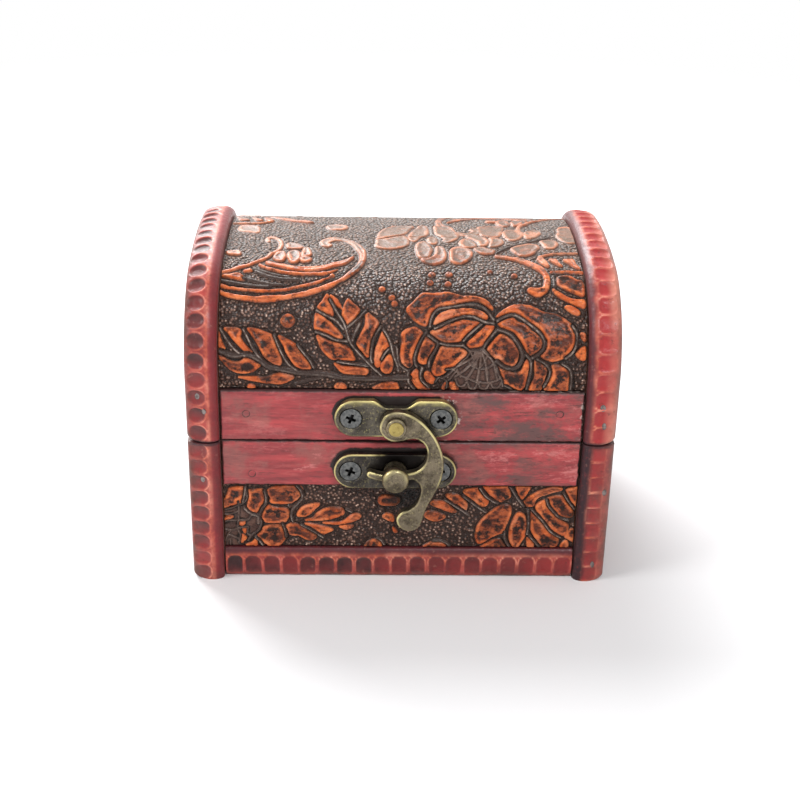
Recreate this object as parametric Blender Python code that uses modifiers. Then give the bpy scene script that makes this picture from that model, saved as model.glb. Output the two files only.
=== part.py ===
"""Small wooden treasure chest: leather-covered box, vaulted lid, gouged mouldings and a swing-hook latch.

The chest stands on z = 0 with its front towards -Y. Lengths are in metres.
"""
import math

import bmesh
import bpy
from mathutils import Matrix, Vector

# Overall size, across the mouldings
WIDTH = 0.080
DEPTH = 0.060
HEIGHT = 0.062
SEAM_HEIGHT = 0.030
GAP = 0.0003
OVERRUN = 0.0020

# Vault of the lid: a shoulder arc at front and back, joined by a flat crown arc
SHOULDER_RADIUS = 0.0190
CROWN_RADIUS = 0.0980
SHOULDER_STEPS = 10
CROWN_STEPS = 4

# Layers at front, back and vault, counted inwards from the mouldings' crown
STRIP_DROP = 0.0010
LEATHER_DROP = 0.0020
LEATHER = 0.0008
VAULT = 0.0020

# Layers at the two ends, counted inwards from the mouldings' end face
END_STRIP_DROP = 0.0002
END_LEATHER_DROP = 0.0012

# Woodwork
WALL = 0.0030
BOTTOM = 0.0026
LID_STRIP_HEIGHT = 0.0103
BASE_STRIP_HEIGHT = 0.0095
FOOT_STRIP_HEIGHT = 0.0064

# Mouldings: a short inner side, a smooth crown and a long gouged slope
MOULDING_WIDTH = 0.0060
CROWN_SHARE = 0.36
INNER_SIDE_SHARE = 0.50
OUTER_SIDE_SHARE = 0.46
INNER_STEPS = 3
OUTER_STEPS = 4

# Gouge marks: hollows scooped by an egg-shaped tool
RIB_GOUGE_PITCH = 0.0037
POST_GOUGE_PITCH = 0.0034
FOOT_GOUGE_PITCH = 0.0035
GOUGE_PLACE_SHARE = 0.65
GOUGE_LENGTH_SHARE = 0.96
GOUGE_HALF_WIDTH = 0.0023
GOUGE_TOOL_HEIGHT = 0.0010
GOUGE_DEPTH = 0.0006
GOUGE_SIDES = 8
GOUGE_RINGS = 4

# Swing-hook latch: two plates, a pivoting hook and a grooved knob
LATCH_X = -0.0012
PIVOT_ABOVE_SEAM = 0.00485
PIVOT_TO_KNOB = 0.01035
PLATE = 0.0013
PLATE_RISE = 0.0007
PLATE_HALF_LENGTH = 0.0114
PLATE_LOBE_RADIUS = 0.0037
PLATE_NECK_RADIUS = 0.0051
PLATE_NECK_DIP = 0.0015
KEEPER_HALF_LENGTH = 0.0115
KEEPER_LOBE_RADIUS = 0.0036
PLATE_STEPS = 10

HOOK = 0.0016
TONGUE_INNER_RADIUS = 0.00995
TONGUE_WIDTH = 0.0016
TONGUE_START_DEG = -64.0
TONGUE_END_DEG = -115.0
THUMB_SWELL = 0.0004
THUMB_SWELL_RADIUS = 0.0020
HOOK_STEPS = 8
CURVE_STEPS = 3

# Outline of the hook without its tongue, across and up from the pivot, as shares of PIVOT_TO_KNOB
EYE_SHARES = ((-0.295, 0.0), (-0.205, 0.210), (0.0, 0.295))
BACK_SHARES = ((0.255, 0.235), (0.480, 0.075), (0.690, -0.190), (0.825, -0.500), (0.868, -0.810),
               (0.820, -1.115), (0.700, -1.400), (0.575, -1.670))
THUMB_SHARES = ((0.515, -1.890), (0.440, -2.075), (0.275, -2.150), (0.095, -2.070), (0.035, -1.900),
                (0.125, -1.755), (0.285, -1.695))
THROAT_SHARES = ((0.405, -1.560), (0.468, -1.340), (0.440, -1.170), (0.320, -1.080), (0.300, -0.990),
                 (0.420, -0.895), (0.530, -0.735), (0.565, -0.545), (0.515, -0.360), (0.375, -0.245),
                 (0.220, -0.250), (0.095, -0.285), (-0.090, -0.285), (-0.240, -0.175))

PIVOT_RADIUS = 0.0010
PIVOT_HEAD_RADIUS = 0.00195
PIVOT_HEAD = 0.0009
KNOB_RADIUS = 0.0025
KNOB_POST_RADIUS = 0.0022
KNOB_HEAD = 0.0018
KNOB_PLAY = 0.0005
ROUND_STEPS = 18

# Latch screws, countersunk
SCREW_PLACE_SHARE = 0.73
SCREW_HEAD_RADIUS = 0.0020
SCREW_HEAD_DEPTH = 0.0009
SCREW_RIM = 0.0002
SCREW_RADIUS = 0.0008
SCREW_LENGTH = 0.0050
SCREW_TIP = 0.0008
CROSS_WIDTH = 0.0005
CROSS_LENGTH = 0.0022
CROSS_DEPTH = 0.0005

# Butt hinges on the back
HINGE_X = 0.0200
HINGE_WIDTH = 0.0120
HINGE_LEAF = 0.0007
HINGE_LEAF_HEIGHT = 0.0078
BARREL_RADIUS = 0.0013
PIN_RADIUS = 0.0006
PIN_HEAD_RADIUS = 0.0010
PIN_HEAD = 0.0005
NAIL_PLACE_SHARE = 0.28
NAIL_HEIGHT_SHARE = 0.62
NAIL_RADIUS = 0.00045
NAIL_HEAD_RADIUS = 0.0010
NAIL_HEAD = 0.0004
NAIL_LENGTH = 0.0046
NAIL_TIP = 0.0006
SMALL_STEPS = 10

# Heights and places that follow from the sizes above
BASE_TOP = SEAM_HEIGHT - GAP / 2
LID_BOTTOM = SEAM_HEIGHT + GAP / 2
SHOULDER_Y = DEPTH / 2 - SHOULDER_RADIUS
JOIN_ANGLE = math.asin(SHOULDER_Y / (CROWN_RADIUS - SHOULDER_RADIUS))
CROWN_CENTRE_Z = HEIGHT - CROWN_RADIUS
SPRING_Z = CROWN_CENTRE_Z + (CROWN_RADIUS - SHOULDER_RADIUS) * math.cos(JOIN_ANGLE)
SEAT_DROP = LEATHER_DROP + LEATHER
SHELL_DROP = SEAT_DROP + GAP
END_SEAT_DROP = END_LEATHER_DROP + LEATHER
SHELL_X = WIDTH / 2 - END_SEAT_DROP - GAP
SHELL_Y = DEPTH / 2 - SHELL_DROP
SEAT_X = WIDTH / 2 - END_SEAT_DROP
SEAT_Y = DEPTH / 2 - SEAT_DROP
MOULDING_X = WIDTH / 2 - MOULDING_WIDTH
FIELD_X = MOULDING_X - GAP
STRIP_Y = DEPTH / 2 - STRIP_DROP
LEATHER_Y = DEPTH / 2 - LEATHER_DROP

# Depths of the latch, from the strips' face outwards
PLATE_BACK_Y = -(STRIP_Y + GAP)
PLATE_FRONT_Y = PLATE_BACK_Y - PLATE
HOOK_BACK_Y = PLATE_FRONT_Y - GAP
HOOK_FRONT_Y = HOOK_BACK_Y - HOOK
PIVOT_HEAD_Y = HOOK_FRONT_Y - GAP
KNOB_HEAD_Y = HOOK_FRONT_Y - KNOB_PLAY
PIVOT_HEIGHT = SEAM_HEIGHT + PIVOT_ABOVE_SEAM
KNOB_HEIGHT = PIVOT_HEIGHT - PIVOT_TO_KNOB
PLATE_HEIGHT = PIVOT_HEIGHT + PLATE_RISE
TONGUE_OUTER_RADIUS = TONGUE_INNER_RADIUS + TONGUE_WIDTH

# Depths of the hinges, from the back strips outwards
LEAF_INNER_Y = STRIP_Y + GAP
LEAF_OUTER_Y = LEAF_INNER_Y + HINGE_LEAF
HINGE_Y = LEAF_INNER_Y + BARREL_RADIUS

FACING_FRONT = Matrix.Rotation(math.radians(90), 4, "X")
FACING_BACK = Matrix.Rotation(math.radians(-90), 4, "X")
ALONG_X = Matrix.Rotation(math.radians(90), 4, "Y")


# Scene set-up
def clear_scene():
    for thing in list(bpy.data.objects):
        bpy.data.objects.remove(thing)


def new_collection(name):
    collection = bpy.data.collections.new(name)
    bpy.context.scene.collection.children.link(collection)
    return collection


def new_material(name, colour, roughness, metallic=0.0):
    material = bpy.data.materials.new(name)
    material.use_nodes = True
    shader = material.node_tree.nodes["Principled BSDF"]
    shader.inputs["Base Color"].default_value = (*colour, 1.0)
    shader.inputs["Roughness"].default_value = roughness
    shader.inputs["Metallic"].default_value = metallic
    material.diffuse_color = (*colour, 1.0)
    return material


def new_axis(name, place, parent=None):
    """An empty on a joint's axis, which carries the pieces that turn there."""
    empty = bpy.data.objects.new(name, None)
    empty.matrix_world = Matrix.Translation(place)
    PARTS.objects.link(empty)
    if parent is not None:
        attach(empty, parent)
    return empty


def attach(thing, parent):
    bpy.context.view_layer.update()
    thing.parent = parent
    thing.matrix_parent_inverse = parent.matrix_world.inverted()


# Solids
def finish_piece(name, mesh, material, parent, place=None, smooth_deg=None):
    piece = bpy.data.objects.new(name, mesh)
    mesh.materials.clear()
    mesh.materials.append(material)
    if smooth_deg is not None:
        mesh.shade_smooth()
        mesh.set_sharp_from_angle(angle=math.radians(smooth_deg))
    if place is not None:
        piece.matrix_world = place
    PARTS.objects.link(piece)
    attach(piece, parent)
    return piece


def finish_cutter(name, mesh, place=None):
    cutter = bpy.data.objects.new(name, mesh)
    if place is not None:
        cutter.matrix_world = place
    cutter.hide_render = True
    cutter.display_type = "WIRE"
    CUTTERS.objects.link(cutter)
    return cutter


def mesh_from(bm, name):
    bmesh.ops.recalc_face_normals(bm, faces=bm.faces)
    mesh = bpy.data.meshes.new(name)
    bm.to_mesh(mesh)
    bm.free()
    return mesh


def add_box(bm, low, high):
    low, high = Vector(low), Vector(high)
    size = Matrix.Diagonal((*(high - low), 1.0))
    bmesh.ops.create_cube(bm, size=1.0, matrix=Matrix.Translation((low + high) / 2) @ size)


def box_mesh(name, low, high):
    bm = bmesh.new()
    add_box(bm, low, high)
    return mesh_from(bm, name)


def box(name, low, high, material, parent):
    return finish_piece(name, box_mesh(name, low, high), material, parent)


def cylinder_mesh(name, radius, start, end, steps=ROUND_STEPS):
    """A cylinder along local Z, from one height to the other."""
    bm = bmesh.new()
    bmesh.ops.create_cone(bm, cap_ends=True, segments=steps, radius1=radius, radius2=radius,
                          depth=end - start, matrix=Matrix.Translation((0.0, 0.0, (start + end) / 2)))
    return mesh_from(bm, name)


def turned_mesh(name, profile, steps):
    """A profile of (radius, height) pairs, top to bottom, turned about local Z by a Screw modifier."""
    bm = bmesh.new()
    points = [bm.verts.new((radius, 0.0, height)) for radius, height in profile]
    for upper, lower in zip(points, points[1:]):
        bm.edges.new((upper, lower))
    mesh = bpy.data.meshes.new(name + "_profile")
    bm.to_mesh(mesh)
    bm.free()
    lathe = bpy.data.objects.new(name + "_profile", mesh)
    CUTTERS.objects.link(lathe)
    turn = lathe.modifiers.new("turn", "SCREW")
    turn.steps = steps
    turn.render_steps = steps
    turn.use_merge_vertices = True
    turn.merge_threshold = GAP / 30
    return evaluated_mesh(lathe, name)


def evaluated_mesh(thing, name):
    """The finished mesh of an object that is only a tool; its caps are welded and the object is removed."""
    bpy.context.view_layer.update()
    evaluated = thing.evaluated_get(bpy.context.evaluated_depsgraph_get())
    mesh = bpy.data.meshes.new_from_object(evaluated)
    mesh.name = name
    bm = bmesh.new()
    bm.from_mesh(mesh)
    bmesh.ops.remove_doubles(bm, verts=bm.verts, dist=GAP / 30)
    bmesh.ops.recalc_face_normals(bm, faces=bm.faces)
    bm.to_mesh(mesh)
    bm.free()
    bpy.data.objects.remove(thing)
    return mesh


def flat_curve(name, thickness):
    """An empty flat curve that fills its outlines in the local XY plane and is extruded along local Z."""
    curve = bpy.data.curves.new(name, "CURVE")
    curve.dimensions = "2D"
    curve.fill_mode = "BOTH"
    curve.extrude = thickness / 2
    return curve


def add_outline(curve, outline):
    """A closed outline with straight sides."""
    spline = curve.splines.new("POLY")
    spline.points.add(len(outline) - 1)
    for point, (across, up) in zip(spline.points, outline):
        point.co = (across, up, 0.0, 1.0)
    spline.use_cyclic_u = True


def add_smooth_outline(curve, outline):
    """A closed outline that runs smoothly through its points."""
    spline = curve.splines.new("BEZIER")
    spline.bezier_points.add(len(outline) - 1)
    for point, (across, up) in zip(spline.bezier_points, outline):
        point.co = (across, up, 0.0)
        point.handle_left_type = "AUTO"
        point.handle_right_type = "AUTO"
    spline.use_cyclic_u = True
    spline.resolution_u = CURVE_STEPS


def curve_mesh(name, curve):
    sheet = bpy.data.objects.new(name, curve)
    CUTTERS.objects.link(sheet)
    return evaluated_mesh(sheet, name)


def plate_mesh(name, outlines, thickness):
    """A flat plate whose first outline is its edge, and any others its holes."""
    curve = flat_curve(name, thickness)
    for outline in outlines:
        add_outline(curve, outline)
    return curve_mesh(name, curve)


def boolean(piece, cutter, operation="DIFFERENCE"):
    step = piece.modifiers.new(operation.lower(), "BOOLEAN")
    step.operation = operation
    step.object = cutter


def arc(centre, radius, start_deg, end_deg, steps):
    """Points of an arc, in degrees counter-clockwise from the local X axis."""
    turns = [math.radians(start_deg + (end_deg - start_deg) * index / steps) for index in range(steps + 1)]
    return [(centre[0] + radius * math.cos(turn), centre[1] + radius * math.sin(turn)) for turn in turns]


def circle(centre, radius, steps=ROUND_STEPS):
    return arc(centre, radius, 0.0, 360.0, steps)[:-1]


# The vault
def vault_outline(drop, bottom):
    """Outline in Y and Z of the space under the vault, at a depth below the mouldings' crown."""
    front_spring = (-SHOULDER_Y, SPRING_Z)
    back_spring = (SHOULDER_Y, SPRING_Z)
    join_deg = math.degrees(JOIN_ANGLE)
    outline = [(DEPTH / 2 - drop, bottom)]
    outline += arc(back_spring, SHOULDER_RADIUS - drop, 0.0, 90.0 - join_deg, SHOULDER_STEPS)
    crown = arc((0.0, CROWN_CENTRE_Z), CROWN_RADIUS - drop, 90.0 - join_deg, 90.0 + join_deg, CROWN_STEPS)
    outline += crown[1:-1]
    outline += arc(front_spring, SHOULDER_RADIUS - drop, 90.0 + join_deg, 180.0, SHOULDER_STEPS)
    outline.append((drop - DEPTH / 2, bottom))
    return outline


def vault_sweep_mesh(name, section, bottom):
    """Carry a section of (x, drop) pairs up the front, over the shoulders and crown, and down the back."""
    bm = bmesh.new()
    corners = [bm.verts.new((x, drop - DEPTH / 2, bottom)) for x, drop in section]
    end = [bm.faces.new(corners)]
    rise = Vector((0.0, 0.0, SPRING_Z - bottom))
    end = extrude(bm, end, rise)
    shoulder_turn = math.pi / 2 - JOIN_ANGLE
    for centre, turn, steps in (
        ((0.0, -SHOULDER_Y, SPRING_Z), shoulder_turn, SHOULDER_STEPS),
        ((0.0, 0.0, CROWN_CENTRE_Z), 2 * JOIN_ANGLE, CROWN_STEPS),
        ((0.0, SHOULDER_Y, SPRING_Z), shoulder_turn, SHOULDER_STEPS),
    ):
        swept = bmesh.ops.spin(bm, geom=with_edges(end), cent=centre, axis=(1.0, 0.0, 0.0),
                               angle=-turn, steps=steps)
        end = [item for item in swept["geom_last"] if isinstance(item, bmesh.types.BMFace)]
    extrude(bm, end, -rise)
    return mesh_from(bm, name)


def extrude(bm, faces, way):
    """Carry faces along a straight way; where they close a solid already, the old ones go."""
    grown = bmesh.ops.extrude_face_region(bm, geom=with_edges(faces))["geom"]
    bmesh.ops.translate(bm, verts=[item for item in grown if isinstance(item, bmesh.types.BMVert)], vec=way)
    return [item for item in grown if isinstance(item, bmesh.types.BMFace)]


def with_edges(faces):
    return faces + list({edge for face in faces for edge in face.edges})


def vault_length():
    straight = SPRING_Z - LID_BOTTOM
    return 2 * (straight + SHOULDER_RADIUS * (math.pi / 2 - JOIN_ANGLE) + CROWN_RADIUS * JOIN_ANGLE)


def vault_frame(distance):
    """Point on the mouldings' crown line and its outward angle from +Y, so far from the front seam."""
    straight = SPRING_Z - LID_BOTTOM
    shoulder = SHOULDER_RADIUS * (math.pi / 2 - JOIN_ANGLE)
    crown = 2 * CROWN_RADIUS * JOIN_ANGLE
    if distance < straight:
        return -DEPTH / 2, LID_BOTTOM + distance, math.pi
    if distance < straight + shoulder:
        angle = math.pi - (distance - straight) / SHOULDER_RADIUS
        centre_y, centre_z, radius = -SHOULDER_Y, SPRING_Z, SHOULDER_RADIUS
    elif distance < straight + shoulder + crown:
        angle = math.pi / 2 + JOIN_ANGLE - (distance - straight - shoulder) / CROWN_RADIUS
        centre_y, centre_z, radius = 0.0, CROWN_CENTRE_Z, CROWN_RADIUS
    elif distance < straight + 2 * shoulder + crown:
        angle = math.pi / 2 - JOIN_ANGLE - (distance - straight - shoulder - crown) / SHOULDER_RADIUS
        centre_y, centre_z, radius = SHOULDER_Y, SPRING_Z, SHOULDER_RADIUS
    else:
        return DEPTH / 2, LID_BOTTOM + vault_length() - distance, 0.0
    return centre_y + radius * math.cos(angle), centre_z + radius * math.sin(angle), angle


# Mouldings
def moulding_profile(width, height):
    """Outline as (across, height) pairs over a flat seat, from the inner side to the outer side."""
    crown = CROWN_SHARE * width
    inner_side = INNER_SIDE_SHARE * height
    outer_side = OUTER_SIDE_SHARE * height
    profile = [(0.0, 0.0)]
    for index in range(INNER_STEPS + 1):
        turn = math.pi / 2 * index / INNER_STEPS
        profile.append((crown * (1 - math.cos(turn)), inner_side + (height - inner_side) * math.sin(turn)))
    for index in range(1, OUTER_STEPS + 1):
        turn = math.pi / 2 * index / OUTER_STEPS
        across = crown + (width - crown) * math.sin(turn)
        profile.append((across, outer_side + (height - outer_side) * math.cos(turn)))
    profile.append((width, 0.0))
    return profile


def straight_moulding_mesh(name, width, height, length):
    """A moulding along local X, its width along local Y and its crown towards local Z."""
    bm = bmesh.new()
    corners = [bm.verts.new((0.0, across, up)) for across, up in moulding_profile(width, height)]
    extrude(bm, [bm.faces.new(corners)], Vector((length, 0.0, 0.0)))
    return mesh_from(bm, name)


def gouge_tool_mesh(name, frames, width, height, pitch):
    """One egg-shaped scoop at each frame; a frame has X along the moulding, Y across it and Z outwards."""
    slope = (GOUGE_PLACE_SHARE - CROWN_SHARE) / (1 - CROWN_SHARE)
    fall = (1 - OUTER_SIDE_SHARE) * height
    surface = height - fall * (1 - math.sqrt(1 - slope * slope))
    tilt = math.atan(fall * slope / (width * (1 - CROWN_SHARE) * math.sqrt(1 - slope * slope)))
    scoop = (Matrix.Translation((0.0, GOUGE_PLACE_SHARE * width, surface)) @ Matrix.Rotation(-tilt, 4, "X")
             @ Matrix.Translation((0.0, 0.0, GOUGE_TOOL_HEIGHT - GOUGE_DEPTH))
             @ Matrix.Diagonal((GOUGE_LENGTH_SHARE * pitch / 2, GOUGE_HALF_WIDTH, GOUGE_TOOL_HEIGHT, 1.0)))
    bm = bmesh.new()
    for frame in frames:
        bmesh.ops.create_uvsphere(bm, u_segments=GOUGE_SIDES, v_segments=GOUGE_RINGS, radius=1.0,
                                  matrix=frame @ scoop)
    return mesh_from(bm, name)


def even_places(length, pitch):
    """Centres of as many marks as fit the length at about this pitch."""
    count = max(1, round(length / pitch))
    return [length * (index + 0.5) / count for index in range(count)]


def frame_matrix(along, across, outwards, origin):
    return Matrix.Translation(origin) @ Matrix((along, across, outwards)).transposed().to_4x4()


def vault_rib(name, side):
    """One of the two gouged ribs over the ends of the lid."""
    profile = moulding_profile(MOULDING_WIDTH, SEAT_DROP)
    section = [(side * (MOULDING_X + across), SEAT_DROP - up) for across, up in profile]
    sweep = vault_sweep_mesh(name, section, LID_BOTTOM)
    rib = finish_piece(name, sweep, MOULDING_RED, LID_AXIS, smooth_deg=35)
    frames = []
    for distance in even_places(vault_length(), RIB_GOUGE_PITCH):
        y, z, angle = vault_frame(distance)
        outwards = Vector((0.0, math.cos(angle), math.sin(angle)))
        across = Vector((float(side), 0.0, 0.0))
        origin = Vector((side * MOULDING_X, y, z)) - outwards * SEAT_DROP
        frames.append(frame_matrix(across.cross(outwards), across, outwards, origin))
    tool = gouge_tool_mesh(name + "_gouges", frames, MOULDING_WIDTH, SEAT_DROP, RIB_GOUGE_PITCH)
    boolean(rib, finish_cutter(name + "_gouges", tool))
    return rib


def straight_moulding(name, frame, width, height, length, pitch):
    """A gouged moulding laid along a frame's X axis."""
    mesh = straight_moulding_mesh(name, width, height, length)
    piece = finish_piece(name, mesh, MOULDING_RED, BASE, place=frame, smooth_deg=35)
    frames = [frame @ Matrix.Translation((place, 0.0, 0.0)) for place in even_places(length, pitch)]
    tool = gouge_tool_mesh(name + "_gouges", frames, width, height, pitch)
    boolean(piece, finish_cutter(name + "_gouges", tool))
    return piece


# Fasteners
def screw_profile(clearance, reach):
    """A countersunk screw, head upwards, as (radius, height) pairs; its hole has clearance and reach."""
    profile = [(0.0, reach), (SCREW_HEAD_RADIUS + clearance, reach)]
    profile.append((SCREW_HEAD_RADIUS + clearance, -SCREW_RIM))
    profile.append((SCREW_RADIUS + clearance, -SCREW_HEAD_DEPTH - clearance))
    profile.append((SCREW_RADIUS + clearance, -(SCREW_LENGTH - SCREW_TIP)))
    profile.append((0.0, -SCREW_LENGTH - clearance))
    return profile


def nail_profile(clearance):
    """A round-headed nail; its head stands above height zero, and a hole for it has only the shank."""
    if clearance > 0.0:
        profile = [(0.0, OVERRUN), (NAIL_RADIUS + clearance, OVERRUN)]
    else:
        profile = [(0.0, NAIL_HEAD), (NAIL_HEAD_RADIUS / 2, NAIL_HEAD), (NAIL_HEAD_RADIUS, NAIL_HEAD / 3)]
        profile += [(NAIL_HEAD_RADIUS, 0.0), (NAIL_RADIUS, 0.0)]
    profile.append((NAIL_RADIUS + clearance, -(NAIL_LENGTH - NAIL_TIP)))
    profile.append((0.0, -NAIL_LENGTH - clearance))
    return profile


def latch_screw(name, place, carriers, parent):
    """A cross-head screw, flush with the plate, in a countersunk hole through everything that it passes."""
    place = Matrix.Translation(place) @ FACING_FRONT
    turned = turned_mesh(name, screw_profile(0.0, 0.0), SMALL_STEPS)
    screw = finish_piece(name, turned, SCREW_STEEL, parent, place)
    bm = bmesh.new()
    half, arm = CROSS_WIDTH / 2, CROSS_LENGTH / 2
    add_box(bm, (-arm, -half, -CROSS_DEPTH), (arm, half, OVERRUN))
    bar = finish_cutter(name + "_slot", mesh_from(bm, name + "_slot"), place)
    quarter_turn = Matrix.Rotation(math.radians(90), 4, "Z")
    cross_bar = finish_cutter(name + "_cross_slot", bar.data, place @ quarter_turn)
    boolean(screw, bar)
    boolean(screw, cross_bar)
    hole_mesh = turned_mesh(name + "_hole", screw_profile(GAP, OVERRUN), SMALL_STEPS)
    hole = finish_cutter(name + "_hole", hole_mesh, place)
    for carrier in carriers:
        boolean(carrier, hole)
    return screw


def hinge_nail(name, place, carriers, parent):
    place = Matrix.Translation(place) @ FACING_BACK
    nail = finish_piece(name, turned_mesh(name, nail_profile(0.0), SMALL_STEPS), HINGE_BRASS, parent, place)
    hole = finish_cutter(name + "_hole", turned_mesh(name + "_hole", nail_profile(GAP), SMALL_STEPS), place)
    for carrier in carriers:
        boolean(carrier, hole)
    return nail


# Base
def make_base():
    inner_x, inner_y = SHELL_X - WALL, SHELL_Y - WALL
    wall_bottom = BOTTOM + GAP
    box("bottom_panel", (-SHELL_X, -SHELL_Y, 0.0), (SHELL_X, SHELL_Y, BOTTOM), INNER_WOOD, BASE)
    parts = {}
    for side, sign in (("front", -1), ("back", 1)):
        near, far = sorted((sign * inner_y, sign * SHELL_Y))
        parts[side + "_wall"] = box("base_" + side + "_wall", (-SHELL_X, near, wall_bottom),
                                    (SHELL_X, far, BASE_TOP), INNER_WOOD, BASE)
    for side, sign in (("left", -1), ("right", 1)):
        near, far = sorted((sign * inner_x, sign * SHELL_X))
        box("base_" + side + "_wall", (near, GAP - inner_y, wall_bottom), (far, inner_y - GAP, BASE_TOP),
            INNER_WOOD, BASE)

    strip_bottom = SEAM_HEIGHT - BASE_STRIP_HEIGHT
    leather_bottom = FOOT_STRIP_HEIGHT + GAP
    leather_top = strip_bottom - GAP
    for side, sign in (("front", -1), ("back", 1)):
        near, far = sorted((sign * SEAT_Y, sign * LEATHER_Y))
        box("base_" + side + "_leather", (-FIELD_X, near, leather_bottom), (FIELD_X, far, leather_top),
            LEATHER_BROWN, BASE)
        near, far = sorted((sign * SEAT_Y, sign * STRIP_Y))
        parts[side + "_strip"] = box("base_" + side + "_rim_strip", (-FIELD_X, near, strip_bottom),
                                     (FIELD_X, far, BASE_TOP), STRIP_RED, BASE)
    for side, sign in (("left", -1), ("right", 1)):
        near, far = sorted((sign * SEAT_X, sign * (WIDTH / 2 - END_LEATHER_DROP)))
        box("base_" + side + "_leather", (near, -SHELL_Y, leather_bottom), (far, SHELL_Y, leather_top),
            LEATHER_BROWN, BASE)
        near, far = sorted((sign * SEAT_X, sign * (WIDTH / 2 - END_STRIP_DROP)))
        box("base_" + side + "_rim_strip", (near, -SHELL_Y, strip_bottom), (far, SHELL_Y, BASE_TOP),
            STRIP_RED, BASE)
    make_foot_strips()
    make_corner_strips()
    return parts


def make_foot_strips():
    """Gouged strips along the bottom, crown upwards, between the corner strips."""
    down = Vector((0.0, 0.0, -1.0))
    foot_height = SEAT_DROP - STRIP_DROP
    end_height = END_SEAT_DROP - END_STRIP_DROP
    for side, sign in (("front", -1), ("back", 1)):
        outwards = Vector((0.0, float(sign), 0.0))
        along = down.cross(outwards)
        origin = Vector((0.0, sign * SEAT_Y, FOOT_STRIP_HEIGHT)) - along * FIELD_X
        straight_moulding("base_" + side + "_foot_strip", frame_matrix(along, down, outwards, origin),
                          FOOT_STRIP_HEIGHT, foot_height, 2 * FIELD_X, FOOT_GOUGE_PITCH)
    for side, sign in (("left", -1), ("right", 1)):
        outwards = Vector((float(sign), 0.0, 0.0))
        along = down.cross(outwards)
        origin = Vector((sign * SEAT_X, 0.0, FOOT_STRIP_HEIGHT)) - along * SHELL_Y
        straight_moulding("base_" + side + "_foot_strip", frame_matrix(along, down, outwards, origin),
                          FOOT_STRIP_HEIGHT, end_height, 2 * SHELL_Y, FOOT_GOUGE_PITCH)


def make_corner_strips():
    """Upright gouged strips at the four corners, under the ribs of the lid."""
    for side, x_sign in (("left", -1), ("right", 1)):
        for face, y_sign in (("front", -1), ("back", 1)):
            across = Vector((float(x_sign), 0.0, 0.0))
            outwards = Vector((0.0, float(y_sign), 0.0))
            along = across.cross(outwards)
            start = 0.0 if along.z > 0 else BASE_TOP
            origin = Vector((x_sign * MOULDING_X, y_sign * SEAT_Y, start))
            straight_moulding("base_" + face + "_" + side + "_corner_strip",
                              frame_matrix(along, across, outwards, origin),
                              MOULDING_WIDTH, SEAT_DROP, BASE_TOP, POST_GOUGE_PITCH)


# Lid
def make_lid():
    parts = {}
    section = [(-SHELL_X, SHELL_DROP), (SHELL_X, SHELL_DROP), (SHELL_X, SHELL_DROP + VAULT),
               (-SHELL_X, SHELL_DROP + VAULT)]
    parts["vault"] = finish_piece("lid_vault", vault_sweep_mesh("lid_vault", section, LID_BOTTOM),
                                  INNER_WOOD, LID_AXIS, smooth_deg=35)
    strip_top = SEAM_HEIGHT + LID_STRIP_HEIGHT
    section = [(-FIELD_X, LEATHER_DROP), (FIELD_X, LEATHER_DROP), (FIELD_X, SEAT_DROP),
               (-FIELD_X, SEAT_DROP)]
    finish_piece("lid_vault_leather", vault_sweep_mesh("lid_vault_leather", section, strip_top + GAP),
                 LEATHER_BROWN, LID_AXIS, smooth_deg=35)
    panel_outline = vault_outline(SHELL_DROP + VAULT + GAP, LID_BOTTOM)
    leather_outline = vault_outline(SHELL_DROP, strip_top + GAP)
    across = Matrix.Rotation(math.radians(90), 4, "Z") @ FACING_FRONT
    for side, sign in (("left", -1), ("right", 1)):
        middle = Matrix.Translation((sign * (SHELL_X - WALL / 2), 0.0, 0.0)) @ across
        finish_piece("lid_" + side + "_end", plate_mesh("lid_" + side + "_end", [panel_outline], WALL),
                     INNER_WOOD, LID_AXIS, place=middle)
        middle = Matrix.Translation((sign * (SEAT_X + LEATHER / 2), 0.0, 0.0)) @ across
        finish_piece("lid_" + side + "_end_leather",
                     plate_mesh("lid_" + side + "_end_leather", [leather_outline], LEATHER),
                     LEATHER_BROWN, LID_AXIS, place=middle)
        near, far = sorted((sign * SEAT_X, sign * (WIDTH / 2 - END_STRIP_DROP)))
        box("lid_" + side + "_rim_strip", (near, -SHELL_Y, LID_BOTTOM), (far, SHELL_Y, strip_top),
            STRIP_RED, LID_AXIS)
        vault_rib("lid_" + side + "_rib", sign)
    for side, sign in (("front", -1), ("back", 1)):
        near, far = sorted((sign * SEAT_Y, sign * STRIP_Y))
        parts[side + "_strip"] = box("lid_" + side + "_rim_strip", (-FIELD_X, near, LID_BOTTOM),
                                     (FIELD_X, far, strip_top), STRIP_RED, LID_AXIS)
    return parts


# Latch
def lobed_outline(half_length, radius, neck_dip):
    """A plate with two round ends; its upper edge dips between them when neck_dip isn't zero."""
    centre = half_length - radius
    outline = arc((centre, 0.0), radius, -90.0, 90.0, PLATE_STEPS)
    if neck_dip > 0.0:
        half_angle = math.degrees(math.acos(1 - neck_dip / PLATE_NECK_RADIUS))
        neck_centre = (0.0, radius - neck_dip + PLATE_NECK_RADIUS)
        outline += arc(neck_centre, PLATE_NECK_RADIUS, -90.0 + half_angle, -90.0 - half_angle, PLATE_STEPS)
    outline += arc((-centre, 0.0), radius, 90.0, 270.0, PLATE_STEPS)
    return outline


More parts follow.
